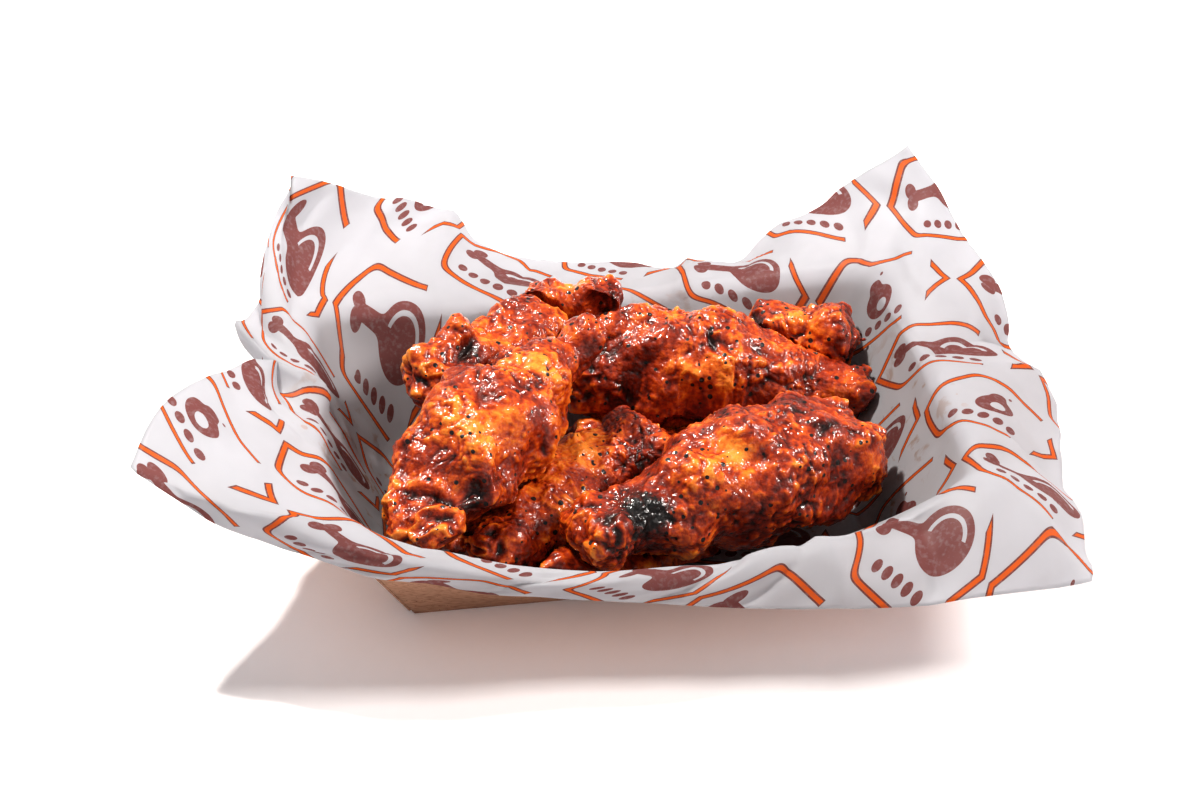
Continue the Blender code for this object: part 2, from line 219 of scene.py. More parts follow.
def addStage(settings):
    # the lamps, a pale room and the table: a white opal sheet lit faintly from below, matt and even
    for name, softbox in settings["softboxes"].items():
        addSoftbox(name, np.array(settings["lit"]), *softbox)
    world = bpy.data.worlds.new("paleRoom")
    world.use_nodes = True
    world.node_tree.nodes["Background"].inputs["Color"].default_value = (1, 1, 1, 1)
    world.node_tree.nodes["Background"].inputs["Strength"].default_value = settings["skyStrength"]
    bpy.context.scene.world = world
    bpy.context.scene.view_settings.view_transform = "Standard"
    bpy.context.scene.view_settings.look = "Medium High Contrast"
    half = settings["floorSize"] / 2
    material, tree = newMaterial("matt white light table")
    shader = addNode(tree, "BsdfPrincipled", {
        "Base Color": toLinear(settings["table"]), "Roughness": settings["tableRoughness"],
        "Specular IOR Level": settings["tableSpecular"],
        "Emission Color": toLinear(settings["glow"]), "Emission Strength": settings["tableGlow"]})
    addNode(tree, "OutputMaterial", {"Surface": shader})
    mesh = bpy.data.meshes.new("studioFloor")
    corners = np.array([[-half, -half, 0], [half, -half, 0], [half, half, 0], [-half, half, 0]])
    mesh.from_pydata((corners * mm).tolist(), [], [(0, 1, 2, 3)])
    mesh.materials.append(material)
    floor = addObject("studioFloor", mesh)


addCamera(stageSettings)
addStage(stageSettings)
print("camera, light and floor are in")


# the tray: one board folded up into four slanted walls, the long ones pushed out by the food
traySettings = {
    "length": 130.0, "width": 80.0, "slant": 42.0, "cornerFlare": 20.0, "bow": (13.0, 1.5, 9.0, 2.0),
    "board": 0.7, "steps": (96, 60, 96, 60), "wallSteps": 34,
    "baseRings": (0.985, 0.96, 0.75, 0.5, 0.25),
    # the glued tabs: rows and columns, span down the wall, where they start and how they taper
    "tabSteps": (24, 16), "tabSpan": (0.98, 0.03), "tabStart": 0.004, "tabReach": 0.27,
    "tabTaper": (0.55, 0.45), "glue": 0.12, "tabCurl": 0.5, "curlPower": 4, "sideEnd": 0.9999,
    # the board's colours, sizes of its pattern in millimetres and finish
    "shades": ((0.25, "#7d5240"), (0.5, "#b48d74"), (0.78, "#c0947c")), "bark": "#5a3c26",
    "fibreLength": 2.4, "fibreWidth": 0.35, "cloud": 14.0, "cloudShade": (0.9, 1.06),
    "speck": 1.6, "speckReach": 0.09, "fibreBump": 0.06, "bumpStrength": 0.35,
    "roughness": 0.82, "specular": 0.3,
}
trayCorners = np.array([(-1, -1), (1, -1), (1, 1), (-1, 1)], float)


def sideStations(counts):
    # stations round the tray: the side in the whole part, the way along it in the fraction
    return np.concatenate([side + np.arange(count) / count for side, count in enumerate(counts)])


def wallPoints(stations, height, inset=0.0):
    # points on the walls at a share of their height, moved off the board by the inset; a wall leans
    # out by the corner flare plus its bow times a parabola that is one halfway along
    settings = traySettings
    side = np.floor(stations).astype(int) % 4
    along = (stations - np.floor(stations))[:, None]
    half = (settings["length"] / 2, settings["width"] / 2)
    start = trayCorners[side] * half
    stop = trayCorners[(side + 1) % 4] * half
    run = (stop - start) / np.linalg.norm(stop - start, axis=1, keepdims=True)
    out = np.stack([run[:, 1], -run[:, 0]], axis=1)
    flare = settings["cornerFlare"] + np.array(settings["bow"])[side][:, None] * 4 * along * (1 - along)
    rise = np.sqrt(settings["slant"] ** 2 - flare ** 2)
    spread = (2 * along - 1) * settings["cornerFlare"] * height
    flat = start + along * (stop - start) + run * spread + out * flare * height
    flat = flat - out * rise / settings["slant"] * inset
    level = settings["board"] + rise * height + flare / settings["slant"] * inset
    return np.hstack([flat, level])


def makeKraftMaterial(settings):
    # unbleached kraft board, pressed from long brown fibres: matt, with pale and dark flecks that
    # run along the board and small dark specks of bark
    material, tree = newMaterial("unbleached kraft board")
    place = addNode(tree, "TexCoord")["Object"]
    wide, narrow = 1 / (settings["fibreLength"] * mm), 1 / (settings["fibreWidth"] * mm)
    along = addNode(tree, "Mapping", {"Vector": place, "Scale": (wide, narrow, narrow)})
    fibre, cloud = [addNode(tree, "TexNoise", {
        "Vector": source, "Scale": scale, "Detail": detail})["Fac"]
        for source, scale, detail in ((along, 1.0, 3.0),
                                      (place, 1 / (settings["cloud"] * mm), 2.0))]
    speck = addNode(tree, "TexVoronoi", {"Vector": place, "Scale": 1 / (settings["speck"] * mm)})
    shade = addNode(tree, "ValToRGB", {"Fac": fibre}, stops=settings["shades"])
    mottle = addNode(tree, "MapRange", {
        "Value": cloud, **dict(zip(rangeEnds, noiseRange + settings["cloudShade"]))})
    toned = addNode(tree, "Mix", {0: 1.0, 6: shade, 7: mottle}, data_type="RGBA", blend_type="MULTIPLY")
    spot = addNode(tree, "Math", {
        0: speck["Distance"], 1: settings["speckReach"]}, operation="LESS_THAN")
    specked = addNode(tree, "Mix", {
        0: spot, 6: toned[2], 7: toLinear(settings["bark"])}, data_type="RGBA")
    bump = addNode(tree, "Bump", {
        "Height": fibre, "Strength": settings["bumpStrength"], "Distance": settings["fibreBump"] * mm})
    shader = addNode(tree, "BsdfPrincipled", {
        "Base Color": specked[2], "Roughness": settings["roughness"],
        "Specular IOR Level": settings["specular"], "Normal": bump})
    addNode(tree, "OutputMaterial", {"Surface": shader})
    return material


def cornerTab(corner, settings, first):
    # the glued tab outside a short wall: a four-sided patch that tapers away from the corner, held
    # off the wall by the board and the glue, and curled by a high power of the way to its end
    rows, columns = settings["tabSteps"]
    down, away = np.meshgrid(np.linspace(*settings["tabSpan"], rows),
                             np.linspace(settings["tabStart"], 1, columns), indexing="ij")
    narrow, widening = settings["tabTaper"]
    reach = settings["tabReach"] * (narrow + widening * down) * away
    side = (1, 1, 3, 3)[corner]
    station = side + (reach if corner % 2 == 0 else settings["sideEnd"] - reach)
    lift = settings["board"] + settings["glue"] + settings["tabCurl"] * away ** settings["curlPower"]
    tab = np.array([wallPoints(station[row], down[row, 0], -lift[row][:, None]) for row in range(rows)])
    row, column = np.meshgrid(np.arange(rows - 1), np.arange(columns - 1), indexing="ij")
    a = first + row * columns + column
    quads = np.stack([a, a + columns, a + columns + 1, a + 1], axis=-1).reshape(-1, 4)
    return tab.reshape(-1, 3), (quads if corner % 2 == 0 else quads[:, ::-1]).tolist()


def buildTray(settings):
    # rings down the walls from the rim, a small round at the fold, then rings over the base to its
    # middle; the board's thickness goes on the outside
    stations = sideStations(settings["steps"])
    heights = np.linspace(1, 0, settings["wallSteps"])
    rings = [wallPoints(stations, height) for height in heights]
    foot = rings[-1]
    for share in settings["baseRings"]:
        rings.append(foot * (share, share, 1))
    points = np.vstack(rings + [np.array([[0, 0, settings["board"]]])])
    columns = len(stations)
    faces = ringFaces(len(rings), columns)[:, ::-1].tolist()
    faces += fanFaces(len(points) - 1, columns, (len(rings) - 1) * columns)
    for corner in range(4):
        tab, tabFaces = cornerTab(corner, settings, len(points))
        points = np.vstack([points, tab])
        faces += tabFaces
    piece = addPiece("foldedTray", points, faces, [makeKraftMaterial(settings)],
                     ["kraft_tray"])
    addThickness(piece, "board", settings["board"], offset=1.0, use_even_offset=True)


buildTray(traySettings)
print("tray built")


# the deli paper: floor, walls, a crest over the rim, and flaps out to the sheet's own edge
paperSettings = {
    "flat": (273.0, 203.0), "thickness": 0.16, "floorHeight": 1.4, "lowest": 1.2,
    "inset": 1.2, "floorInset": 2.5, "rounding": 5,
    "crestLift": 2.6, "cornerLift": 3.0, "cornerPower": 6, "crestOut": 0.8, "crestRounding": 2,
    "steps": (18, 14, 18, 14), "finer": 6, "radialSteps": 112, "edgeSteps": 12, "ringSteps": 16,
    "floorRings": (0.5, 0.96), "wallRings": (0.05, 0.4, 0.8), "flapRings": (0.25, 0.5, 0.75, 1.0),
    "flapArch": 0.35, "archLift": 0.35,
    # crumples: fold spacings, their height at the middle one, and where the flaps begin
    "crumpleSizes": (44.0, 27.0, 16.0), "crumpleHeight": 2.5, "middleSize": 27.0, "foldsEach": 3,
    "foldBend": (60.0, 8.0), "patch": (1.6, 0.35, 50.0), "insideCrumple": 0.4, "flapCrumple": 0.9,
    "rimPlace": (104.0, 79.0), "flapStart": 0.96, "flapFade": 0.12,
    "creaseShare": 2.1, "creaseWander": (9.0, 0.8), "creaseNear": (0.1, 8.0), "creaseFar": (1.1, 4.0),
    "creaseFade": 1.15, "roomOut": 1.1, "roomIn": 0.35, "flapRoom": 40.0,
    # the print, its inks and the marks of the food; a range is from low to high, to low to high
    "paper": "#d1d2d6", "ink": "#8a4a45", "line": "#ea7430", "lineEdge": "#7c3a2b", "stain": "#c98a45",
    "splash": "#c07a3a", "cell": (50.0, 35.0), "printTurn": 26.0, "printShift": (9.0, 14.0, 0.0),
    "inks": (("edgeMask", "lineEdge", 0.92), ("lineMask", "line", 1.0), ("inkMask", "ink", 0.93)),
    "backInk": 0.15,
    "wear": (0.28, 0.5), "worn": 0.82, "fibre": 1.4, "cloud": 11.0, "smear": 8.5, "cloudShade": (0.965, 1.0),
    "ovalReach": (88.0, 66.0), "ovalFade": (0.8, 1.12), "soak": (0.58, 0.66, 0.0, 0.7),
    "drop": 6.5, "dropReach": (0.72, 1.0, 0.0, 0.17),
    "letThrough": 0.7, "roughness": 0.5, "specular": 0.4, "fibreBump": 0.05, "bumpStrength": 0.12,
}
# creases on the flat sheet: from, to, height (valleys are negative) and half width
creases = (
    ((-136, 30), (-86, 14), -3.4, 4.5), ((-136, 52), (-92, 34), 1.6, 5.0),
    ((-128, -16), (-84, -24), 1.2, 4.0), ((-120, 96), (-70, 52), 1.0, 6.0),
    ((-60, 100), (-44, 60), -0.9, 4.0), ((-20, 101), (-30, 60), 0.9, 5.0),
    ((38, 100), (30, 58), -1.8, 4.0), ((62, 100), (50, 54), 1.0, 5.0),
    ((110, 92), (72, 46), -0.8, 5.0), ((136, 28), (74, 6), 2.2, 4.5),
    ((136, 12), (82, -12), -1.3, 5.0), ((132, -44), (84, -30), 0.9, 5.0),
    ((92, -100), (60, -52), 1.1, 4.0), ((66, -100), (30, -60), -1.3, 4.5),
    ((40, -98), (52, -58), 0.9, 3.0), ((12, -100), (34, -64), 0.8, 3.5),
    ((-30, -100), (-40, -62), 0.7, 4.0), ((-84, -98), (-66, -60), 0.9, 4.0),
    ((-110, -90), (-74, -48), -0.9, 5.0), ((-64, 20), (-60, -30), 0.5, 3.0),
    ((-30, -66), (20, -72), 0.6, 2.5),
)
# the sheet's edge, side by side from its front left corner; each side starts at a corner
paperEdge = (
    ((-138, -46, 56), (-109, -66, 44), (-62, -78, 32), (-21, -82, 27), (21, -85, 22), (57, -90, 22),
     (83, -92, 24)),
    ((107, -90, 24), (116, -50, 25), (122, -15, 23), (125, 5, 19), (119, 45, 39), (108, 75, 57)),
    ((101, 90, 67), (76, 94, 48), (52, 95, 33), (43, 92, 31), (14, 97, 31), (-9, 105, 30),
     (-28, 115, 33), (-37, 119, 42)),
    ((-88, 100, 64), (-97, 70, 53), (-105, 40, 43), (-97, 26, 44), (-102, 15, 52), (-118, -10, 61),
     (-131, -30, 63)),
)


def smoothRing(points, passes):
    # each point of a closed ring averaged with its neighbours
    for _ in range(passes):
        points = (np.roll(points, 1, axis=0) + 2 * points + np.roll(points, -1, axis=0)) / 4
    return points


def splineThrough(rows, shares):
    # a cubic through evenly spaced rows, read at the shares: the slope at a row is half the step
    # between its two neighbours, and the usual four cubic weights blend rows and slopes
    before = np.concatenate([2 * rows[:1] - rows[1:2], rows[:-1]])
    after = np.concatenate([rows[1:], 2 * rows[-1:] - rows[-2:-1]])
    slope = (after - before) / 2
    place = np.clip(shares, 0, len(rows) - 1 - 1e-9)
    low = np.floor(place).astype(int)
    part = (place - low).reshape((-1,) + (1,) * (rows.ndim - 1))
    return ((2 * part ** 3 - 3 * part ** 2 + 1) * rows[low] + (part ** 3 - 2 * part ** 2 + part) * slope[low]
            + (3 * part ** 2 - 2 * part ** 3) * rows[low + 1] + (part ** 3 - part ** 2) * slope[low + 1])


def edgeCurve(anchors, steps):
    # points at equal lengths along a smooth curve through the anchors
    anchors = np.array(anchors, float)
    finer = paperSettings["edgeSteps"]
    fine = splineThrough(anchors, np.arange(0, (len(anchors) - 1) * finer + 1) / finer)
    length = np.append(0, np.cumsum(np.linalg.norm(np.diff(fine, axis=0), axis=1)))
    wanted = np.linspace(0, length[-1], steps, endpoint=False)
    return np.stack([np.interp(wanted, length, fine[:, axis]) for axis in range(3)], axis=1)


def paperRings(settings):
    # rings of the sheet from the middle of the floor, up the walls and out to its edge; a flap is a
    # quadratic curve from the crest to the edge that bends towards a point above the rim
    stations = sideStations(settings["steps"])
    floor = wallPoints(stations, 0.0)
    floor[:, :2] -= np.sign(floor[:, :2]) * settings["floorInset"]
    floor = smoothRing(floor, settings["rounding"])
    floor[:, 2] = settings["floorHeight"]
    rings = [floor * (share, share, 1) for share in settings["floorRings"]]
    for height in settings["wallRings"]:
        wall = smoothRing(wallPoints(stations, height, settings["inset"]), settings["rounding"])
        wall[:, 2] = np.maximum(wall[:, 2], settings["floorHeight"])
        rings.append(wall)
    rim = wallPoints(stations, 1.0)
    corner = np.abs(2 * (stations % 1.0) - 1)[:, None] ** settings["cornerPower"]
    outward = rim * (1, 1, 0) / np.linalg.norm(rim[:, :2], axis=1, keepdims=True)
    crest = rim + outward * settings["crestOut"]
    crest[:, 2:] += settings["crestLift"] + settings["cornerLift"] * corner
    crest = smoothRing(crest, settings["crestRounding"])
    edge = np.vstack([edgeCurve(paperEdge[side] + paperEdge[(side + 1) % 4][:1], count)
                      for side, count in enumerate(settings["steps"])])
    reach = np.linalg.norm(edge - crest, axis=1, keepdims=True)
    arch = crest + (outward + (0, 0, settings["archLift"])) * reach * settings["flapArch"]
    rings.append(crest)
    for share in settings["flapRings"]:
        rings.append((1 - share) ** 2 * crest + 2 * share * (1 - share) * arch + share ** 2 * edge)
    return np.array(rings)


def finerRound(rings, settings):
    # the rings read at finer stations: smooth across the corners inside, sharp there at the edge
    finer = settings["finer"]
    around = np.moveaxis(rings, 1, 0)
    total = len(around)
    looped = np.concatenate([around[-2:], around, around[:3]])
    smooth = splineThrough(looped, 2 + np.arange(total * finer) / finer)
    first, sharp = 0, []
    for count in settings["steps"]:
        side = np.take(around, np.arange(first, first + count + 1), axis=0, mode="wrap")
        sharp.append(splineThrough(side, np.arange(count * finer) / finer))
        first += count
    sharp = np.concatenate(sharp)
    inner = len(settings["floorRings"]) + len(settings["wallRings"]) + 1
    flaps = len(settings["flapRings"])
    weight = np.concatenate([np.zeros(inner), (np.arange(flaps) + 1) / flaps])[None, :, None]
    return np.moveaxis(smooth * (1 - weight) + sharp * weight, 0, 1)


def paperSurface(settings):
    # a grid of points, middle ring first, evenly spaced from the middle to the edge at each
    # station, with the place of each on the flat sheet
    rings = finerRound(paperRings(settings), settings)
    columns = rings.shape[1]
    middle = np.tile([[0.0, 0.0, settings["floorHeight"]]], (1, columns, 1))
    rings = np.concatenate([middle, rings])
    finer = settings["ringSteps"]
    fine = splineThrough(rings, np.arange(0, (len(rings) - 1) * finer + 1) / finer)
    steps = np.linalg.norm(np.diff(fine, axis=0), axis=2)
    length = np.concatenate([np.zeros((1, columns)), np.cumsum(steps, axis=0)])
    share = np.linspace(0, 1, settings["radialSteps"] + 1)[1:]
    grid = np.empty((len(share), columns, 3))
    for column in range(columns):
        wanted = share * length[-1, column]
        for axis in range(3):
            grid[:, column, axis] = np.interp(wanted, length[:, column], fine[:, column, axis])
    grid[..., 2] = np.maximum(grid[..., 2], settings["lowest"])
    stations = sideStations([count * settings["finer"] for count in settings["steps"]])
    side, along = np.floor(stations).astype(int), (stations % 1.0)[:, None]
    corners = trayCorners * np.array(settings["flat"]) / 2
    border = corners[side] + (corners[(side + 1) % 4] - corners[side]) * along
    flat = border[None] * share[:, None, None]
    return grid, flat


def surfaceNormals(grid):
    # unit normals of a grid of rings that closes round its second direction: the cross product of
    # the steps around and down
    down = np.gradient(grid, axis=0)
    around = np.roll(grid, -1, axis=1) - np.roll(grid, 1, axis=1)
    normal = np.cross(around, down)
    return normal / np.maximum(np.linalg.norm(normal, axis=-1, keepdims=True), 1e-9)


def crumple(flat, settings):
    # heights on the flat sheet, outwards where positive: zigzag waves along bent lines, of three
    # spacings and in patches, plus creases that fade as the exponential of minus the distance
    # beside them and end softly
    point = np.concatenate([flat, np.zeros(flat.shape[:-1] + (1,))], axis=-1)
    rimShare = np.max(np.abs(flat) / settings["rimPlace"], axis=-1)
    outwards = np.clip((rimShare - settings["flapStart"]) / settings["flapFade"], 0, 1)
    height = np.zeros(flat.shape[:-1])
    rng = np.random.default_rng(11)
    bendSize, bendReach = settings["foldBend"]
    patchSize, patchBase, patchShift = settings["patch"]
    for size in settings["crumpleSizes"]:
        for _ in range(settings["foldsEach"]):
            turn, shift = rng.uniform(0, np.pi), rng.uniform(0, 2)
            bent = point[..., :2] + softNoise(point, bendSize, int(size) + 3)[..., None] * bendReach
            wave = (bent @ (np.cos(turn), np.sin(turn))) / size + shift
            zigzag = np.abs(wave % 2 - 1) - 0.5
            where = np.clip(softNoise(point + patchShift * shift, size * patchSize, 5) + patchBase, 0, 1)
            height += zigzag * where * settings["crumpleHeight"] * size / settings["middleSize"]
    height *= settings["insideCrumple"] + outwards * settings["flapCrumple"]
    wanderSize, wanderReach = settings["creaseWander"]
    wander = softNoise(point, wanderSize, 8) * wanderReach
    nearEnd, nearRate = settings["creaseNear"]
    farEnd, farRate = settings["creaseFar"]
    for start, stop, rise, width in creases:
        run = np.subtract(stop, start)
        along = (flat - start) @ run / (run @ run)
        aside = (flat - start) @ np.array([-run[1], run[0]]) / np.linalg.norm(run) + wander
        ends = np.clip((farEnd - along) * farRate, 0, 1) * np.clip((along + nearEnd) * nearRate, 0, 1)
        fade = np.clip(settings["creaseFade"] - along, 0, 1) * ends
        height += settings["creaseShare"] * rise * fade * np.exp(-np.abs(aside) / width)
    # inside the tray the sheet stays between the board and the food
    free = settings["flapRoom"] * outwards
    return np.clip(height, -settings["roomOut"] - free, settings["roomIn"] + free)


# the print, in millimetres from each cell's middle, every other row pushed along by half a cell: a
# drumstick or a flame, a row of dots, and a lozenge outline that opens where they meet it. Each
# step is a name, an operation and its values; a disc is the distance from x, y less a radius
printSteps = (
    ("rowPlace", "DIVIDE", "y", "tall"), ("row", "FLOOR", "rowPlace"),
    ("odd", "FLOORED_MODULO", "row", 2.0), ("pushed", "MULTIPLY_ADD", "odd", "halfWide", "x"),
    ("columnPlace", "DIVIDE", "pushed", "wide"), ("column", "FLOOR", "columnPlace"),
    ("inColumn", "FRACT", "columnPlace"), ("inRow", "FRACT", "rowPlace"),
    ("cx", "MULTIPLY_ADD", "inColumn", "wide", "minusHalfWide"),
    ("cy", "MULTIPLY_ADD", "inRow", "tall", "minusHalfTall"),
    ("count", "MULTIPLY_ADD", "row", 2.0, "column"), ("kind", "FLOORED_MODULO", "count", 3.0),
    ("isFlame", "GREATER_THAN", "kind", 1.5),
    # drumstick: an egg of meat with a shine, a bone and its two knobs
    ("mx", "MULTIPLY_ADD", "cx", 0.76, -4.6), ("my", "ADD", "cy", -2.2), ("m", "disc", "mx", "my", 0.0),
    ("meat", "ADD", "m", -7.0), ("boneStart", "MAXIMUM", "cx", -13.0),
    ("boneNear", "MINIMUM", "boneStart", 0.0), ("bx", "SUBTRACT", "cx", "boneNear"),
    ("bone", "disc", "bx", "my", 1.8), ("stick", "SMOOTH_MIN", "meat", "bone", 3.0),
    ("kx", "ADD", "cx", 13.8), ("kyAbs", "ABSOLUTE", "my"), ("ky", "ADD", "kyAbs", -2.0),
    ("knob", "disc", "kx", "ky", 2.5), ("drumstick", "SMOOTH_MIN", "stick", "knob", 0.6),
    ("arc", "ADD", "m", -4.7), ("arcLine", "ABSOLUTE", "arc"), ("arcSide", "SUBTRACT", 0.8, "my"),
    ("shineWide", "ADD", "arcLine", -0.5), ("shine", "MAXIMUM", "shineWide", "arcSide"),
    ("shineCut", "MULTIPLY", "shine", -1.0), ("drum", "MAXIMUM", "drumstick", "shineCut"),
    # flame: three round lobes run together, with a small one left open inside
    ("lowY", "ADD", "cy", 0.6), ("low", "disc", "cx", "lowY", 5.6),
    ("midX", "ADD", "cx", 2.2), ("midY", "ADD", "cy", -5.2), ("mid", "disc", "midX", "midY", 2.4),
    ("tipX", "ADD", "cx", 0.2), ("tipY", "ADD", "cy", -9.4), ("tip", "disc", "tipX", "tipY", 0.5),
    ("lowMid", "SMOOTH_MIN", "low", "mid", 3.0), ("flameOut", "SMOOTH_MIN", "lowMid", "tip", 4.0),
    ("holeX", "ADD", "cx", -1.0), ("holeY", "ADD", "cy", 1.8), ("holeReach", "disc", "holeX", "holeY", 0.0),
    ("hole", "SUBTRACT", 2.2, "holeReach"), ("flame", "MAXIMUM", "flameOut", "hole"),
    ("motifStep", "SUBTRACT", "flame", "drum"), ("motif", "MULTIPLY_ADD", "motifStep", "isFlame", "drum"),
    # five dots in a row below
    ("dotPlace", "DIVIDE", "cx", 4.4), ("dotRound", "ROUND", "dotPlace"),
    ("dotLow", "MAXIMUM", "dotRound", -2.0), ("dotNear", "MINIMUM", "dotLow", 2.0),
    ("dotX", "MULTIPLY_ADD", "dotNear", -4.4, "cx"), ("dotY", "ADD", "cy", 9.2),
    ("dots", "disc", "dotX", "dotY", 1.55), ("bold", "MINIMUM", "motif", "dots"),
    ("inkMask", "LESS_THAN", "bold", 0.0),
    # lozenge outline
    ("ax", "ABSOLUTE", "cx"), ("ay", "ABSOLUTE", "cy"), ("axShare", "MULTIPLY", "ax", 0.62),
    ("slope", "MULTIPLY_ADD", "ay", 0.42, "axShare"), ("slant", "ADD", "slope", -14.2),
    ("flatTop", "ADD", "ay", -14.0), ("lozenge", "SMOOTH_MAX", "slant", "flatTop", 3.0),
    ("edge", "ABSOLUTE", "lozenge"), ("nearInk", "SUBTRACT", 2.2, "bold"),
    ("gapSide", "ADD", "cx", -14.0), ("gapAbs", "ABSOLUTE", "gapSide"),
    ("gap", "SUBTRACT", 4.2, "gapAbs"), ("open", "MAXIMUM", "nearInk", "gap"),
    ("edgeOpen", "MAXIMUM", "edge", "open"),
    ("lineMask", "LESS_THAN", "edgeOpen", 0.46), ("edgeMask", "LESS_THAN", "edgeOpen", 0.82),
)


def drawPrint(tree, settings):
    # the masks of the print, worked out by the steps from the place on the flat sheet
    sheet = addNode(tree, "UVMap", uv_map="sheetPlace")
    turned = addNode(tree, "Mapping", {
        "Vector": sheet, "Scale": (*settings["flat"], 1.0),
        "Rotation": (0.0, 0.0, math.radians(settings["printTurn"])), "Location": settings["printShift"]})
    split = addNode(tree, "SeparateXYZ", {0: turned})
    wide, tall = settings["cell"]
    made = {"x": split, "y": split[1], "wide": wide, "tall": tall,
            "halfWide": wide / 2, "minusHalfWide": -wide / 2, "minusHalfTall": -tall / 2}
    for name, operation, *values in printSteps:
        values = [made.get(value, value) for value in values]
        if operation == "disc":
            x, y, radius = values
            square = addNode(tree, "Math", {0: x, 1: x}, operation="MULTIPLY")
            both = addNode(tree, "Math", {0: y, 1: y, 2: square}, operation="MULTIPLY_ADD")
            reach = addNode(tree, "Math", {0: both}, operation="SQRT")
            values, operation = (reach, -radius), "ADD"
        made[name] = addNode(tree, "Math", dict(enumerate(values)), operation=operation)
    return made


def makePaperMaterial(name, settings, inkShare):
    # bleached greaseproof paper with a flat ink print: satin, lets light through, and its inks sink
    # in; the back shows the print only as a ghost
    material, tree = newMaterial(name)
    masks = drawPrint(tree, settings)
    place = addNode(tree, "TexCoord")["Object"]
    fibre, cloud, smear = [addNode(tree, "TexNoise", {
        "Vector": place, "Scale": 1 / (settings[size] * mm), "Detail": detail, **more})["Fac"]
        for size, detail, more in (("fibre", 3.0, {}), ("cloud", 3.0, {}),
                                   ("smear", 4.0, {"Roughness": 0.62, "Distortion": 0.6}))]
    drops = addNode(tree, "TexVoronoi", {"Vector": place, "Scale": 1 / (settings["drop"] * mm)})
    chance = addNode(tree, "SeparateColor", {0: drops["Color"]})
    # grease, sauce and small splashes lie only close to the food, inside an oval over the tray
    near = addNode(tree, "Mapping", {
        "Vector": place, "Scale": (*[1 / (reach * mm) for reach in settings["ovalReach"]], 0.0)})
    middle = addNode(tree, "VectorMath", {0: near}, operation="LENGTH")
    inside, soaking, tone, dropSize, wear = [addNode(tree, "MapRange", {
        "Value": value, **dict(zip(rangeEnds, limits))}) for value, limits in (
            (middle["Value"], settings["ovalFade"] + (1.0, 0.0)), (smear, settings["soak"]),
            (cloud, noiseRange + settings["cloudShade"]), (chance, settings["dropReach"]),
            (fibre, settings["wear"] + (settings["worn"] * inkShare, inkShare)))]
    stain = addNode(tree, "Math", {0: inside, 1: soaking}, operation="MULTIPLY")
    drop = addNode(tree, "Math", {0: drops["Distance"], 1: dropSize}, operation="LESS_THAN")
    splash = addNode(tree, "Math", {0: drop, 1: inside}, operation="MULTIPLY")
    layers = [(1.0, tone, "MULTIPLY")]
    for mask, ink, strength in settings["inks"]:
        cover = addNode(tree, "Math", {0: wear, 1: strength}, operation="MULTIPLY")
        cover = addNode(tree, "Math", {0: masks[mask], 1: cover}, operation="MULTIPLY")
        layers.append((cover, toLinear(settings[ink]), "MIX"))
    layers += [(stain, toLinear(settings["stain"]), "MULTIPLY"),
               (splash, toLinear(settings["splash"]), "MIX")]
    colour = toLinear(settings["paper"])
    for cover, added, blend in layers:
        colour = addNode(tree, "Mix", {0: cover, 6: colour, 7: added}, data_type="RGBA",
                         blend_type=blend)[2]
    bump = addNode(tree, "Bump", {
        "Height": fibre, "Strength": settings["bumpStrength"], "Distance": settings["fibreBump"] * mm})
    shader = addNode(tree, "BsdfPrincipled", {
        "Base Color": colour, "Roughness": settings["roughness"],
        "Specular IOR Level": settings["specular"], "Normal": bump})
    through = addNode(tree, "BsdfTranslucent", {"Color": colour, "Normal": bump})
    mix = addNode(tree, "MixShader", {0: settings["letThrough"], 1: shader, 2: through})
    addNode(tree, "OutputMaterial", {"Surface": mix})
    return material


def buildPaper(settings):
    # the sheet's surface with its creases, then its thickness; its place on the flat sheet is kept
    # as UV for the print
    grid, flat = paperSurface(settings)
    grid = grid + surfaceNormals(grid) * crumple(flat, settings)[..., None]
    rows, columns = grid.shape[:2]
    points = np.vstack([[[0.0, 0.0, settings["floorHeight"]]], grid.reshape(-1, 3)])
    faces = fanFaces(0, columns, 1) + ringFaces(rows, columns, first=1).tolist()
    faces = [tuple(reversed(face)) for face in faces]
    materials = [makePaperMaterial("printed greaseproof paper", settings, 1.0),
                 makePaperMaterial("greaseproof paper underside", settings, settings["backInk"])]
    piece = addPiece("deliSheet", points, faces, materials, ["deli_paper"])
    flatAll = np.vstack([[[0.0, 0.0]], flat.reshape(-1, 2)]) / settings["flat"] + 0.5
    corners = np.empty(len(piece.data.loops), dtype=np.int64)
    piece.data.loops.foreach_get("vertex_index", corners)
    layer = piece.data.uv_layers.new(name="sheetPlace")
    layer.data.foreach_set("uv", flatAll[corners].astype(np.float32).ravel())
    addThickness(piece, "paper", settings["thickness"], offset=0.0, material_offset=1,
                 material_offset_rim=0)


buildPaper(paperSettings)
print("paper built")


# the wings: blended round cones under skin, each clear of the paper and the wings laid before
wingSettings = {
    "blend": 2.6, "steepest": 60.0, "gap": 1.6, "floor": 2.6, "wallClearance": 3.6, "cornerBlend": 6.0,
    "lumpHeight": 0.45, "lumpWaves": 6, "lumpLength": (11, 24), "spine": (0.2, 0.85), "reach": 34.0,
    "shortest": 0.3, "capRings": 5, "bodyRings": 12, "around": 20, "stepAround": 3.3, "stepAlong": 4.6,
    "traceSteps": 48, "traceShare": 0.7, "traceFiner": 4, "skinRoom": 2.4,
}


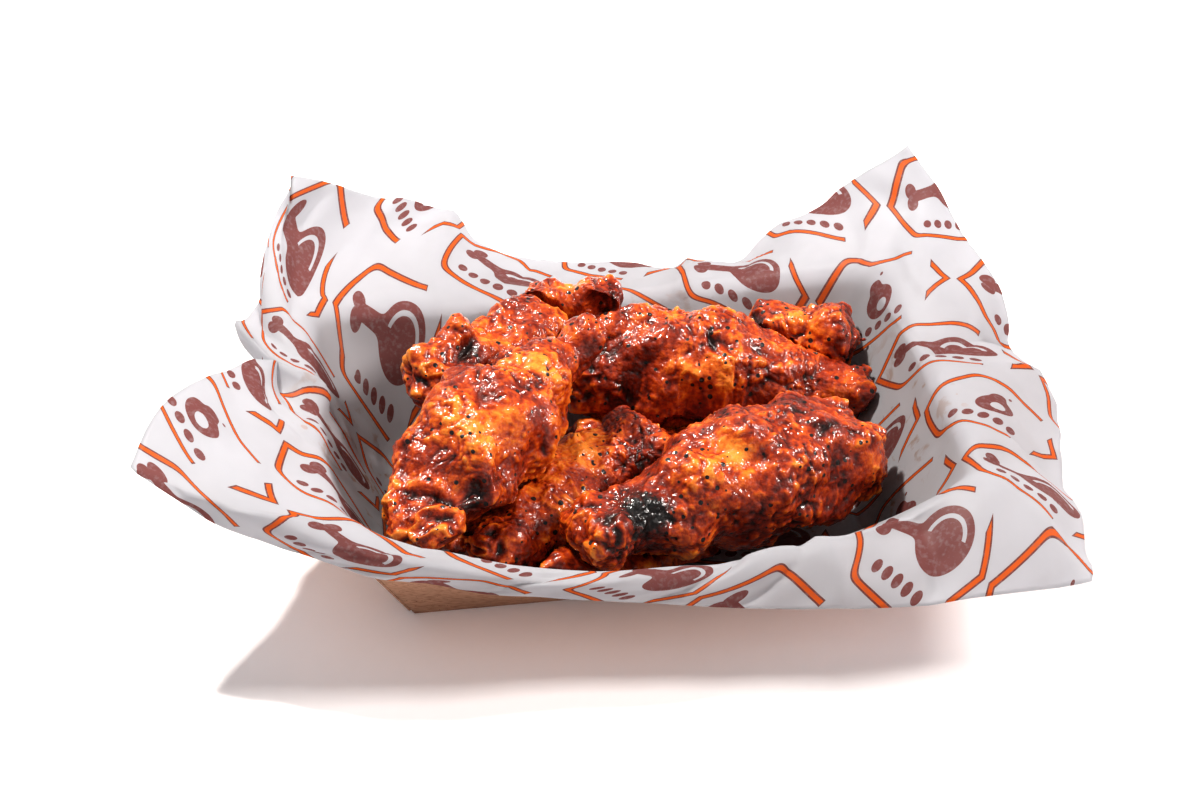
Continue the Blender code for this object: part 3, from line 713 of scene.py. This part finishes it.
def drumette(length, meat, neck, knob, lumps=(), twist=0.0):
    # cones of an upper wing joint: cut end, round meat, narrow neck and two-lobed knuckle; each is a
    # place along, across and up as shares, then a radius, twice. The twist turns the knuckle's lobes
    turn = np.radians(twist)
    lobes = [(across * np.cos(turn) - up * np.sin(turn), across * np.sin(turn) + up * np.cos(turn))
             for across, up in ((0.35, 0.1), (-0.4, -0.1))]
    cones = [
        ((0.12, 0.0, -0.1), meat * 0.6, (0.30, 0.05, 0.0), meat * 0.88),
        ((0.30, 0.0, 0.0), meat * 0.9, (0.46, 0.0, 0.05), meat),
        ((0.46, 0.0, 0.05), meat * 0.98, (0.66, 0.0, 0.0), (meat + neck) * 0.52),
        ((0.66, 0.0, 0.0), (meat + neck) * 0.5, (0.82, 0.0, 0.0), neck),
        ((0.82, 0.0, 0.0), neck, (0.94, 0.0, 0.0), neck * 0.95),
        ((0.95, *lobes[0]), knob, (0.95, *lobes[0]), knob),
        ((0.94, *lobes[1]), knob * 0.9, (0.94, *lobes[1]), knob * 0.9),
    ]
    return cones + list(lumps), length, meat


def middleJoint(length, wide, bone, knob, lumps=()):
    # cones of a middle wing joint: two bones side by side under skin, a knuckle at each end
    side = 0.5
    cones = [
        ((0.12, side, 0.0), bone * 0.92, (0.88, side * 0.8, 0.0), bone * 0.78),
        ((0.12, -side, 0.0), bone, (0.88, -side * 0.7, 0.0), bone * 0.82),
        ((0.22, 0.0, 0.0), bone * 0.85, (0.8, 0.0, 0.0), bone * 0.72),
        ((0.06, side * 1.1, 0.05), knob, (0.06, side * 0.7, 0.05), knob),
        ((0.07, -side * 1.1, -0.05), knob * 1.05, (0.07, -side * 0.7, 0.0), knob),
        ((0.94, side * 0.8, 0.0), knob * 0.9, (0.94, side * 0.5, 0.05), knob * 0.85),
        ((0.95, -side * 0.8, 0.05), knob * 0.85, (0.94, -side * 0.4, 0.0), knob * 0.85),
    ]
    return cones + list(lumps), length, wide


# lumps of torn meat and skin, as cones in the same shares
frontLeftFlap = (
    ((-0.02, 0.30, -0.15), 8.0, (0.06, 0.55, 0.0), 7.5),
    ((0.0, -0.25, 0.1), 7.0, (0.16, -0.4, 0.2), 8.0),
    ((0.26, 0.5, 0.0), 12.0, (0.46, 0.45, 0.0), 12.5),
)
frontRightCut = (
    ((0.04, 0.5, 0.55), 6.0, (0.2, 0.35, 0.5), 9.0),
    ((0.06, -0.4, 0.25), 7.5, (0.2, -0.45, 0.1), 9.0),
    ((0.08, 0.45, -0.15), 11.0, (0.3, 0.4, -0.2), 14.0),
)
middleCut = (
    ((0.01, -0.45, -0.25), 6.0, (0.1, -0.3, -0.2), 7.0),
    ((0.02, 0.35, 0.65), 6.5, (0.2, 0.3, 0.6), 7.0),
    ((0.34, 0.45, 0.5), 8.5, (0.48, 0.4, 0.4), 8.0),
    ((0.06, -0.25, -0.65), 9.5, (0.3, -0.2, -0.7), 11.0),
)
backLeftLumps = (
    ((0.32, 0.5, 1.15), 4.6, (0.3, 0.5, 0.7), 6.0),
)
backRightLumps = (
    ((0.2, 0.1, 0.6), 6.0, (0.3, 0.0, 0.6), 6.0),
    ((0.62, 0.0, 0.65), 6.5, (0.75, 0.1, 0.6), 6.0),
)

# name, node, shape, first end, last end, turn about the length, sideways bend, and how fine its
# surface is, in laying order
wings = (
    ("upperWingFrontLeft", "drumette_front_left", drumette(86, 16.4, 6.2, 5.6, frontLeftFlap, -76.0),
     (-62, -48, 32), (-7, 15, 54), 20, 4.0, 14),
    ("upperWingFrontRight", "drumette_front_right", drumette(94, 19.0, 9.4, 7.8, frontRightCut),
     (65, -9, 27), (-21, -50, 25), -10, 0.0, 14),
    ("upperWingMiddleRight", "drumette_middle_right", drumette(88, 16.0, 6.4, 5.8, middleCut, -30.0),
     (-8, 36, 33), (79, 23, 20), 0, 0.0, 14),
    ("midWingCentre", "flat_centre", middleJoint(72, 13.0, 10.2, 8.4), (-50, -40, 20), (8, 6, 22),
     20, 0.0, 14),
    ("midWingBackLeft", "flat_back_left", middleJoint(50, 10.0, 7.4, 7.0, backLeftLumps), (-54, 10, 41),
     (-22, 42, 41), 15, 0.0, 10),
    ("midWingBackTop", "flat_back_top", middleJoint(23, 7.0, 5.8, 5.8), (-20, 57, 38), (-4, 51, 43),
     -30, 0.0, 8),
    ("midWingBackRight", "flat_back_right", middleJoint(38, 10.0, 7.4, 7.0, backRightLumps),
     (46, 47, 27), (75, 40, 29), 30, 0.0, 9),
    ("midWingUnderFront", "flat_under_front", middleJoint(60, 12.0, 7.6, 6.6), (-35, -44, 12),
     (24, -22, 9), 10, 0.0, 6),
    ("midWingUnderBack", "flat_under_back", middleJoint(56, 13.0, 8.0, 7.0), (-12, 22, 12), (41, 0, 10),
     0, 0.0, 6),
    ("midWingUnderLeft", "flat_under_left", middleJoint(48, 11.0, 9.0, 7.8), (-55, -8, 17), (-34, 34, 19),
     0, 0.0, 6),
)


def wingFrame(start, stop, turn):
    # rows: along the wing, across it and up, turned about its length
    along = np.subtract(stop, start) / np.linalg.norm(np.subtract(stop, start))
    across = np.cross((0, 0, 1), along)
    across /= np.linalg.norm(across)
    up = np.cross(along, across)
    angle = np.radians(turn)
    return np.array([along, across * np.cos(angle) + up * np.sin(angle),
                     up * np.cos(angle) - across * np.sin(angle)])


def wingPlace(wing, share, offset=(0.0, 0.0)):
    # points along the wing's bent spine, moved across it and up by the offset
    _, _, (_, length, wide), start, stop, turn, bend, _ = wing
    axes = wingFrame(start, stop, turn)
    level = wingFrame(start, stop, 0.0)
    share = np.atleast_1d(share)[:, None]
    bow = 4 * share * (1 - share) * bend
    return (np.array(start) + share * length * axes[0] + bow * level[1]
            + offset[0] * wide * axes[1] + offset[1] * wide * axes[2])


def wingField(wing, seed, settings):
    # the wing's cones in place, and the waves that make it uneven
    cones = [(wingPlace(wing, a[0], a[1:])[0], ra, wingPlace(wing, b[0], b[1:])[0], rb)
             for a, ra, b, rb in wing[2][0]]
    rng = np.random.default_rng(seed)
    direction = rng.normal(size=(settings["lumpWaves"], 3))
    direction /= np.linalg.norm(direction, axis=1, keepdims=True)
    wavelength = rng.uniform(*settings["lumpLength"], settings["lumpWaves"])
    waves = direction * (2 * np.pi / wavelength)[:, None]
    return cones, waves, rng.uniform(0, 2 * np.pi, settings["lumpWaves"])


def wingDepth(points, field, settings):
    # distance outside the blended cones: minus the blend times the log of half the summed
    # exponentials, plus a few long sine waves
    cones, waves, phases = field
    total = np.zeros(points.shape[:-1])
    for a, ra, b, rb in cones:
        axis = b - a
        share = np.clip((points - a) @ axis / max(axis @ axis, 1e-9), 0, 1)
        gap = points - a - share[..., None] * axis
        near = np.sqrt(np.sum(gap ** 2, axis=-1)) - ra - share * (rb - ra)
        total += np.exp(np.clip(-near / settings["blend"], -settings["steepest"], settings["steepest"]))
    lumps = np.sin(points @ waves.T + phases).sum(axis=-1) * settings["lumpHeight"]
    return -settings["blend"] * np.log(total / 2) + lumps


def hollowDepth(points, settings):
    # distance inside the lined tray, negative in the paper or the board: to the floor, or to the
    # four walls blended as minus the blend times the log of their summed exponentials
    tray = traySettings
    x, y, z = points[..., 0], points[..., 1], points[..., 2]
    room = z - settings["floor"]
    z = z - tray["board"]
    walls = np.zeros(x.shape)
    length, width = tray["length"] / 2, tray["width"] / 2
    reach = tray["cornerFlare"] / tray["slant"]
    spans = ((-y, x, width, length), (x, y, length, width), (y, x, width, length), (-x, y, length, width))
    for (out, side, near, wide), bulge in zip(spans, tray["bow"]):
        share = np.clip(side / (wide + reach * np.clip(z, 0, None)), -1, 1)
        flare = tray["cornerFlare"] + bulge * (1 - share ** 2)
        rise = np.sqrt(tray["slant"] ** 2 - flare ** 2)
        gap = ((near - out) * rise + z * flare) / tray["slant"] - settings["wallClearance"]
        walls += np.exp(np.clip(-gap / settings["cornerBlend"], -settings["steepest"], settings["steepest"]))
    return np.minimum(room, -settings["cornerBlend"] * np.log(walls))


def spineRays(wing, capRings, bodyRings, around, settings):
    # rays that leave the spine sideways along it and fan out over its two ends
    axes = wingFrame(wing[3], wing[4], wing[5])
    spine = settings["spine"]
    tilt = np.linspace(0, np.pi / 2, capRings + 1)[1:]
    along = np.linspace(*spine, bodyRings + 2)[1:-1]
    share = np.concatenate([np.full(capRings, spine[0]), along, np.full(capRings, spine[1])])
    lean = np.concatenate([-np.cos(tilt), np.zeros(bodyRings), np.cos(tilt[::-1])])
    turns = np.linspace(0, 2 * np.pi, around, endpoint=False)
    ring = np.stack([np.zeros(around), np.cos(turns), np.sin(turns)], axis=1)
    body = np.sqrt(1 - lean ** 2)[:, None, None] * ring + lean[:, None, None] * (1, 0, 0)
    rays = np.concatenate([[(-1.0, 0, 0)], body.reshape(-1, 3), [(1.0, 0, 0)]]) @ axes
    origins = wingPlace(wing, np.concatenate([spine[:1], np.repeat(share, around), spine[1:]]))
    return origins, rays


def easeSteps(radius, around, stepAround, stepAlong):
    # shorten rays next to a much shorter one, so that no face cuts across a neighbour
    inner = radius[1:-1].reshape(-1, around)
    for _ in range(around):
        inner = np.minimum(inner, np.roll(inner, 1, axis=1) + stepAround)
        inner = np.minimum(inner, np.roll(inner, -1, axis=1) + stepAround)
        inner[1:] = np.minimum(inner[1:], inner[:-1] + stepAlong)
        inner[:-1] = np.minimum(inner[:-1], inner[1:] + stepAlong)
    first = min(radius[0], inner[0].mean() + stepAround)
    last = min(radius[-1], inner[-1].mean() + stepAround)
    return np.concatenate([[first], inner.ravel(), [last]])


def finerGrid(values, rows, columns):
    # a closed grid read at more rows and columns by straight lines between its own
    row = np.linspace(0, values.shape[0] - 1, rows)
    low = np.minimum(row.astype(int), values.shape[0] - 2)
    part = (row - low)[:, None]
    tall = values[low] * (1 - part) + values[low + 1] * part
    column = np.arange(columns) * values.shape[1] / columns
    low = column.astype(int)
    part = column - low
    return tall[:, low % values.shape[1]] * (1 - part) + tall[:, (low + 1) % values.shape[1]] * part


def wingSurface(wing, field, laid, settings):
    # the radius at which each ray meets the skin, or stops short of laid wings and paper, traced on
    # a middling grid and read on the fine one
    scale = settings["traceFiner"]
    counts = np.array([settings["capRings"], settings["bodyRings"], settings["around"]])
    middling = tuple((counts * scale).tolist())
    origins, rays = spineRays(wing, *middling, settings)
    radius = np.full(len(rays), settings["reach"])
    for _ in range(settings["traceSteps"]):
        outside = wingDepth(origins + radius[:, None] * rays, field, settings)
        radius = np.clip(radius - settings["traceShare"] * outside, settings["shortest"], settings["reach"])
    limit = np.full(len(rays), settings["shortest"])
    for _ in range(settings["traceSteps"]):
        points = origins + limit[:, None] * rays
        room = hollowDepth(points, settings)
        for other in laid:
            room = np.minimum(room, wingDepth(points, other, settings) - settings["gap"])
        limit = np.clip(limit + settings["traceShare"] * room, settings["shortest"], settings["reach"])
    radius = easeSteps(np.minimum(radius, limit), middling[2], settings["stepAround"] / scale,
                       settings["stepAlong"] / scale)
    cap, body, around = (counts * wing[7]).tolist()
    origins, rays = spineRays(wing, cap, body, around, settings)
    radius, limit = [np.concatenate([
        values[:1], finerGrid(values[1:-1].reshape(-1, middling[2]), 2 * cap + body, around).ravel(),
        values[-1:]]) for values in (radius, limit)]
    return origins + radius[:, None] * rays, rays, limit - radius, around


skinSettings = {
    # relief: mostly feature size and height in millimetres
    "muscle": (11.0, 1.3), "warp": (6.0, 1.6), "fold": (5.0, 0.45), "foldStretch": 1.7, "foldSharpness": 5,
    "foldBase": 0.35, "foldPatch": (15.0, 1.6, 0.45), "nodule": (5.2, 1.3), "noduleBase": 0.27,
    "nodulePatch": (13.0, 1.4, 0.65), "noduleRange": (0.35, 1.2), "blister": (4.6, 1.0),
    "blisterRange": (0.42, 0.92), "grit": (1.3, 0.12), "ragged": (7.5, 1.2), "endShare": 0.14, "farEnd": 0.7,
    # the skin's room to touch, then the blurs and gains of painted shade in hollows, creases and grooves and
    # of painted light on tops
    "touch": 0.7, "blur": 9, "wideBlur": 70, "hollowGain": 0.7, "creaseGain": 0.22, "grooveShade": 0.16,
    # the glaze, from burnt and thick glaze and painted shade at the low end to glaze thin over fat and
    # painted light at the high end
    "glaze": ((0.0, "#240b06"), (0.2, "#5e180a"), (0.4, "#8c2a0a"), (0.56, "#b3440c"), (0.72, "#d36517"),
              (0.93, "#ea8a30")),
    "patch": 17.0, "mottle": 4.4, "speckle": 1.3, "ripple": 1.6, "bead": 1.1, "pepper": 2.4,
    "char": "#0d0807", "pepperColour": "#1a1614",
    # gain and base of what thins the glaze, and of the painted shade and painted light that darken and
    # lighten it
    "thinningAndShading": {"patch": (1.5, -0.31), "mottle": (0.7, -0.35), "speckle": (0.5, -0.25),
                 "relief": (0.85, -0.42), "bright": (0.34, 0.0), "burnt": (-0.3, 0.0)},
    # ranges, as from low to high, to low to high
    "charGain": 1.8, "charRange": (1.65, 1.85, 0.0, 1.0), "pepperRange": (0.42, 1.0, 0.0, 0.34),
    "roughRange": (0.35, 0.65, 0.3, 0.55),
    "speckleBump": 0.35, "rippleBump": 0.55, "beadBump": 0.14, "beadStrength": 0.9,
    "finish": {"Coat Weight": 0.95, "Coat Roughness": 0.15, "Coat IOR": 1.4, "Specular IOR Level": 0.2,
               "Subsurface Weight": 0.12, "Subsurface Radius": (1.0, 0.3, 0.12)},
    "scatter": 2.2,
}
# burnt places, some of them browned spots that stand as painted shade, then spots of painted light: centre,
# reach and strength
charAndShadePlaces = (
    ((-3, -51, 31), 8.5, 1.3), ((-12.7, -54.7, 32), 4.5, 0.7), ((7, 21, 25), 13.0, 0.5),
    ((1.6, 24.3, 32), 10.0, 0.35), ((-19.5, -1.8, 55), 4.5, 0.6), ((-7.4, 4.6, 54), 4.0, 0.6),
    ((-50.3, -46.8, 38.8), 4.5, 0.3), ((1.7, -9.7, 27), 6.0, 0.6), ((-12, -25, 23), 6.0, 0.7),
    ((55, -31, 34), 11.0, 0.4), ((44, -38, 24), 12.0, 0.35), ((-35, -32, 24), 9.0, 0.5),
    ((-48, -40, 20), 9.0, 0.6), ((-20, 32, 45), 5.0, 0.3),
)
# painted light: spots where the glaze is made lighter as if lit
paintedLightPlaces = (
    ((-55.8, -28, 53), 11.0, 0.9), ((-40.6, -34.3, 49), 9.0, 0.9), ((-30, -9, 58.5), 7.0, 0.6),
    ((-21, -11, 30.4), 12.0, 0.9), ((-12, -8, 30), 8.0, 0.7), ((23.7, 18.1, 35.6), 9.0, 1.0),
    ((43.5, 29.9, 38.9), 7.0, 0.5), ((22.6, -38.7, 41), 9.0, 0.8), ((-19.7, -56.1, 24.4), 5.0, 1.0),
    ((9.7, -41.9, 39.4), 6.0, 0.6), ((57.4, 39.4, 37.6), 6.0, 0.4), ((-11.7, 52, 46), 6.0, 0.3),
)
# grooves pressed into the meat: points along each, half width and depth
grooves = (
    (((-71, -42, 42), (-66, -44, 42), (-60, -46, 42), (-54, -46, 40), (-50, -47, 35), (-48, -50, 28)),
     2.6, 3.4),
    (((-47, -44, 38), (-45, -44, 32)), 4.5, 4.5),
    (((-28, -20, 57), (-22, -8, 58), (-16, 0, 58)), 2.2, 1.6),
    (((30, -40, 40), (22, -42, 38), (12, -46, 34)), 2.4, 1.4),
    (((60, -26, 40), (50, -28, 42), (42, -20, 44)), 2.4, 1.6),
    (((2, -18, 30), (-4, -14, 32), (-12, -6, 32)), 2.2, 1.6),
    (((26, 22, 42), (36, 22, 40), (48, 22, 36)), 2.2, 1.5),
    (((6, 30, 46), (10, 22, 44), (10, 16, 36)), 2.4, 1.8),
    (((-44, 14, 50), (-38, 22, 49), (-32, 30, 48)), 2.4, 1.7),
)


def grooveDepth(points):
    # the sum of smooth bells: depth times the exponential of minus the squared distance to a
    # groove's line over its half width
    total = np.zeros(len(points))
    for line, width, depth in grooves:
        line = np.array(line, float)
        nearest = np.full(len(points), np.inf)
        for a, b in zip(line[:-1], line[1:]):
            share = np.clip((points - a) @ (b - a) / ((b - a) @ (b - a)), 0, 1)
            nearest = np.minimum(nearest, np.linalg.norm(points - a - share[:, None] * (b - a), axis=1))
        total += depth * np.exp(-(nearest / width) ** 2)
    return total


def placedSpots(points, places):
    # the sum of round spots: strength times the exponential of minus the squared distance over reach
    total = np.zeros(len(points))
    for centre, reach, strength in places:
        total += strength * np.exp(-np.sum((points - centre) ** 2, axis=1) / reach ** 2)
    return total


def skinRelief(points, wing, seed, settings):
    # heights of the skin: rounded muscle, sharp folds across the length (a high power of one minus
    # absolute noise), round nodules parted by narrow creases (absolute noise at three halving
    # sizes), blisters where noise passes a base, grit, and ragged meat at the two ends
    axes = wingFrame(wing[3], wing[4], wing[5])
    local = (points - np.array(wing[3])) @ axes.T
    share = local[:, 0] / wing[2][1]
    warpSize, warpReach = settings["warp"]
    warp = np.stack([softNoise(points, warpSize, seed + 70 + axis) for axis in range(3)], axis=1) * warpReach
    bent = points + warp
    muscle = layeredNoise(points, settings["muscle"][0], seed, 2) * settings["muscle"][1]
    stretched = (local + warp) * (1.0, 1 / settings["foldStretch"], 1 / settings["foldStretch"])
    ridge = 1 - np.abs(softNoise(stretched, settings["fold"][0], seed + 5))
    size, gain, base = settings["foldPatch"]
    where = np.clip(softNoise(points, size, seed + 9) * gain + base, 0, 1)
    small = (ridge ** settings["foldSharpness"] - settings["foldBase"]) * settings["fold"][1] * where
    size, gain, base = settings["nodulePatch"]
    knobbly = np.clip(softNoise(points, size, seed + 61) * gain + base, *settings["noduleRange"])
    for layer in range(3):
        rounded = np.abs(softNoise(bent, settings["nodule"][0] / 2 ** layer, seed + 11 + layer))
        small += (rounded - settings["noduleBase"]) * knobbly * settings["nodule"][1] / 2 ** layer
    base, top = settings["blisterRange"]
    blister = np.clip(layeredNoise(bent, settings["blister"][0], seed + 21, 2), base, top) - base
    small += blister * settings["blister"][1]
    small += layeredNoise(points, settings["grit"][0], seed + 31, 2) * settings["grit"][1]
    reach = settings["endShare"]
    ends = np.clip(1 - share / reach, 0, 1) + np.clip(1 - (1 - share) / reach, 0, 1) * settings["farEnd"]
    torn = 1 - 2 * np.abs(layeredNoise(bent, settings["ragged"][0], seed + 41, 3))
    small += torn * settings["ragged"][1] * np.minimum(ends, 1) - grooveDepth(bent)
    return muscle + small, small


def gridBlur(values, around, passes):
    # neighbouring rows and columns averaged over and over, the ends held
    inner = values[1:-1].reshape(-1, around)
    for _ in range(passes):
        inner = (np.roll(inner, 1, axis=1) + inner * 2 + np.roll(inner, -1, axis=1)) / 4
        padded = np.concatenate([inner[:1], inner, inner[-1:]])
        inner = (padded[:-2] + 2 * padded[1:-1] + padded[2:]) / 4
    return np.concatenate([inner[:1].mean(axis=1), inner.ravel(), inner[-1:].mean(axis=1)])


def buildWings(settings, skin, material):
    # each wing in laying order, its skin raised along the surface's normals only as far as it is
    # free, and three numbers at each point for the glaze colour: painted shade in hollows and creases
    # with painted light on tops, char with painted shade in browned spots and grooves, and painted
    # light in placed spots
    laid = []
    for seed, wing in enumerate(wings):
        field = wingField(wing, seed, settings)
        points, rays, spare, around = wingSurface(wing, field, laid, settings)
        laid.append(field)
        inner = points[1:-1].reshape(-1, around, 3)
        normal = surfaceNormals(inner).reshape(-1, 3)
        normal *= np.sign(np.sum(normal * rays[1:-1], axis=1, keepdims=True))
        normal = np.concatenate([rays[:1], normal, rays[-1:]])
        height, small = skinRelief(points, wing, seed * 100, skin)
        room = hollowDepth(points, settings) + settings["wallClearance"] - settings["skinRoom"]
        height = np.minimum(height, np.maximum(np.minimum(spare, room), 0) + skin["touch"])
        points = points + height[:, None] * normal
        rows, last = (len(points) - 2) // around, len(points) - 1
        faces = ringFaces(rows, around, first=1).tolist() + fanFaces(0, around, 1)
        faces += [tuple(reversed(face)) for face in fanFaces(last, around, last - around)]
        piece = addPiece(wing[0], points, faces, [material], [wing[1]])
        # painted shade and painted light: the glaze darker in hollows and creases and lighter on tops, partly
        # for glaze pooled in the hollows
        hollow = small - gridBlur(small, around, skin["blur"])
        crease = height - gridBlur(height, around, skin["wideBlur"])
        relief = 0.5 + hollow * skin["hollowGain"] + crease * skin["creaseGain"]
        addValues(piece, "relief", np.clip(relief, 0, 1))
        # char and painted shade: placed dark spots, some burnt and some browned as shade, plus painted shade
        # in the grooves
        addValues(piece, "burnt", placedSpots(points, charAndShadePlaces) + skin["grooveShade"] * grooveDepth(points))
        # painted light in placed spots
        addValues(piece, "bright", placedSpots(points, paintedLightPlaces))
        print("wing built:", wing[0], len(faces), "faces")


def makeSkinMaterial(skin):
    # chicken skin baked crisp under a brushed hot sauce: wet and glinting on every grain, orange
    # where the glaze is thin, brick red where it is thick, near black where it caught, with pepper;
    # painted shade darkens its hollows, creases, grooves and browned spots, and painted light
    # lightens its tops and placed spots
    material, tree = newMaterial("baked chicken skin under hot sauce glaze")
    place = addNode(tree, "TexCoord")["Object"]
    values = {name: addNode(tree, "Attribute", attribute_name=name)["Fac"]
              for name in ("relief", "burnt", "bright")}
    for name, detail, roughness in (("patch", 3.0, 0.6), ("mottle", 3.0, 0.6), ("speckle", 3.0, 0.6),
                                    ("ripple", 1.0, 0.5)):
        values[name] = addNode(tree, "TexNoise", {
            "Vector": place, "Scale": 1 / (skin[name] * mm), "Detail": detail,
            "Roughness": roughness})["Fac"]
    grain, beads = [addNode(tree, "TexVoronoi", {
        "Vector": place, "Scale": 1 / (skin[name] * mm)}) for name in ("pepper", "bead")]
    # how thin the glaze is, from patches and mottles, with painted shade in hollows, creases and browned
    # spots and painted light on tops and in placed spots
    thinAndShaded = 0.0
    for name, (gain, base) in skin["thinningAndShading"].items():
        scaled = addNode(tree, "Math", {0: values[name], 1: gain, 2: base}, operation="MULTIPLY_ADD")
        thinAndShaded = addNode(tree, "Math", {0: thinAndShaded, 1: scaled}, operation="ADD")
    glaze = addNode(tree, "ValToRGB", {"Fac": thinAndShaded}, stops=skin["glaze"])
    # near black char where mottles and the char and painted shade spots are strongest
    charAndShadeLevel = addNode(tree, "Math", {0: values["mottle"], 1: skin["charGain"], 2: values["burnt"]},
                     operation="MULTIPLY_ADD")
    chance = addNode(tree, "SeparateColor", {0: grain["Color"]})
    char, size, rough = [addNode(tree, "MapRange", {"Value": value, **dict(zip(rangeEnds, skin[limits]))})
                         for value, limits in ((charAndShadeLevel, "charRange"), (chance, "pepperRange"),
                                               (values["mottle"], "roughRange"))]
    pepper = addNode(tree, "Math", {0: grain["Distance"], 1: size}, operation="LESS_THAN")
    for cover, colour in ((char, "char"), (pepper, "pepperColour")):
        glaze = addNode(tree, "Mix", {0: cover, 6: glaze, 7: toLinear(skin[colour])},
                        data_type="RGBA")[2]
    bump = addNode(tree, "Bump", {
        "Height": values["speckle"], "Distance": skin["speckleBump"] * mm})
    rippled = addNode(tree, "Bump", {
        "Height": values["ripple"], "Distance": skin["rippleBump"] * mm})
    wet = addNode(tree, "Bump", {
        "Height": beads["Distance"], "Strength": skin["beadStrength"], "Distance": skin["beadBump"] * mm,
        "Normal": rippled}, invert=True)
    shader = addNode(tree, "BsdfPrincipled", {
        "Base Color": glaze, "Roughness": rough, "Normal": bump, "Coat Normal": wet,
        "Subsurface Scale": skin["scatter"] * mm, **skin["finish"]})
    addNode(tree, "OutputMaterial", {"Surface": shader})
    return material


buildWings(wingSettings, skinSettings, makeSkinMaterial(skinSettings))
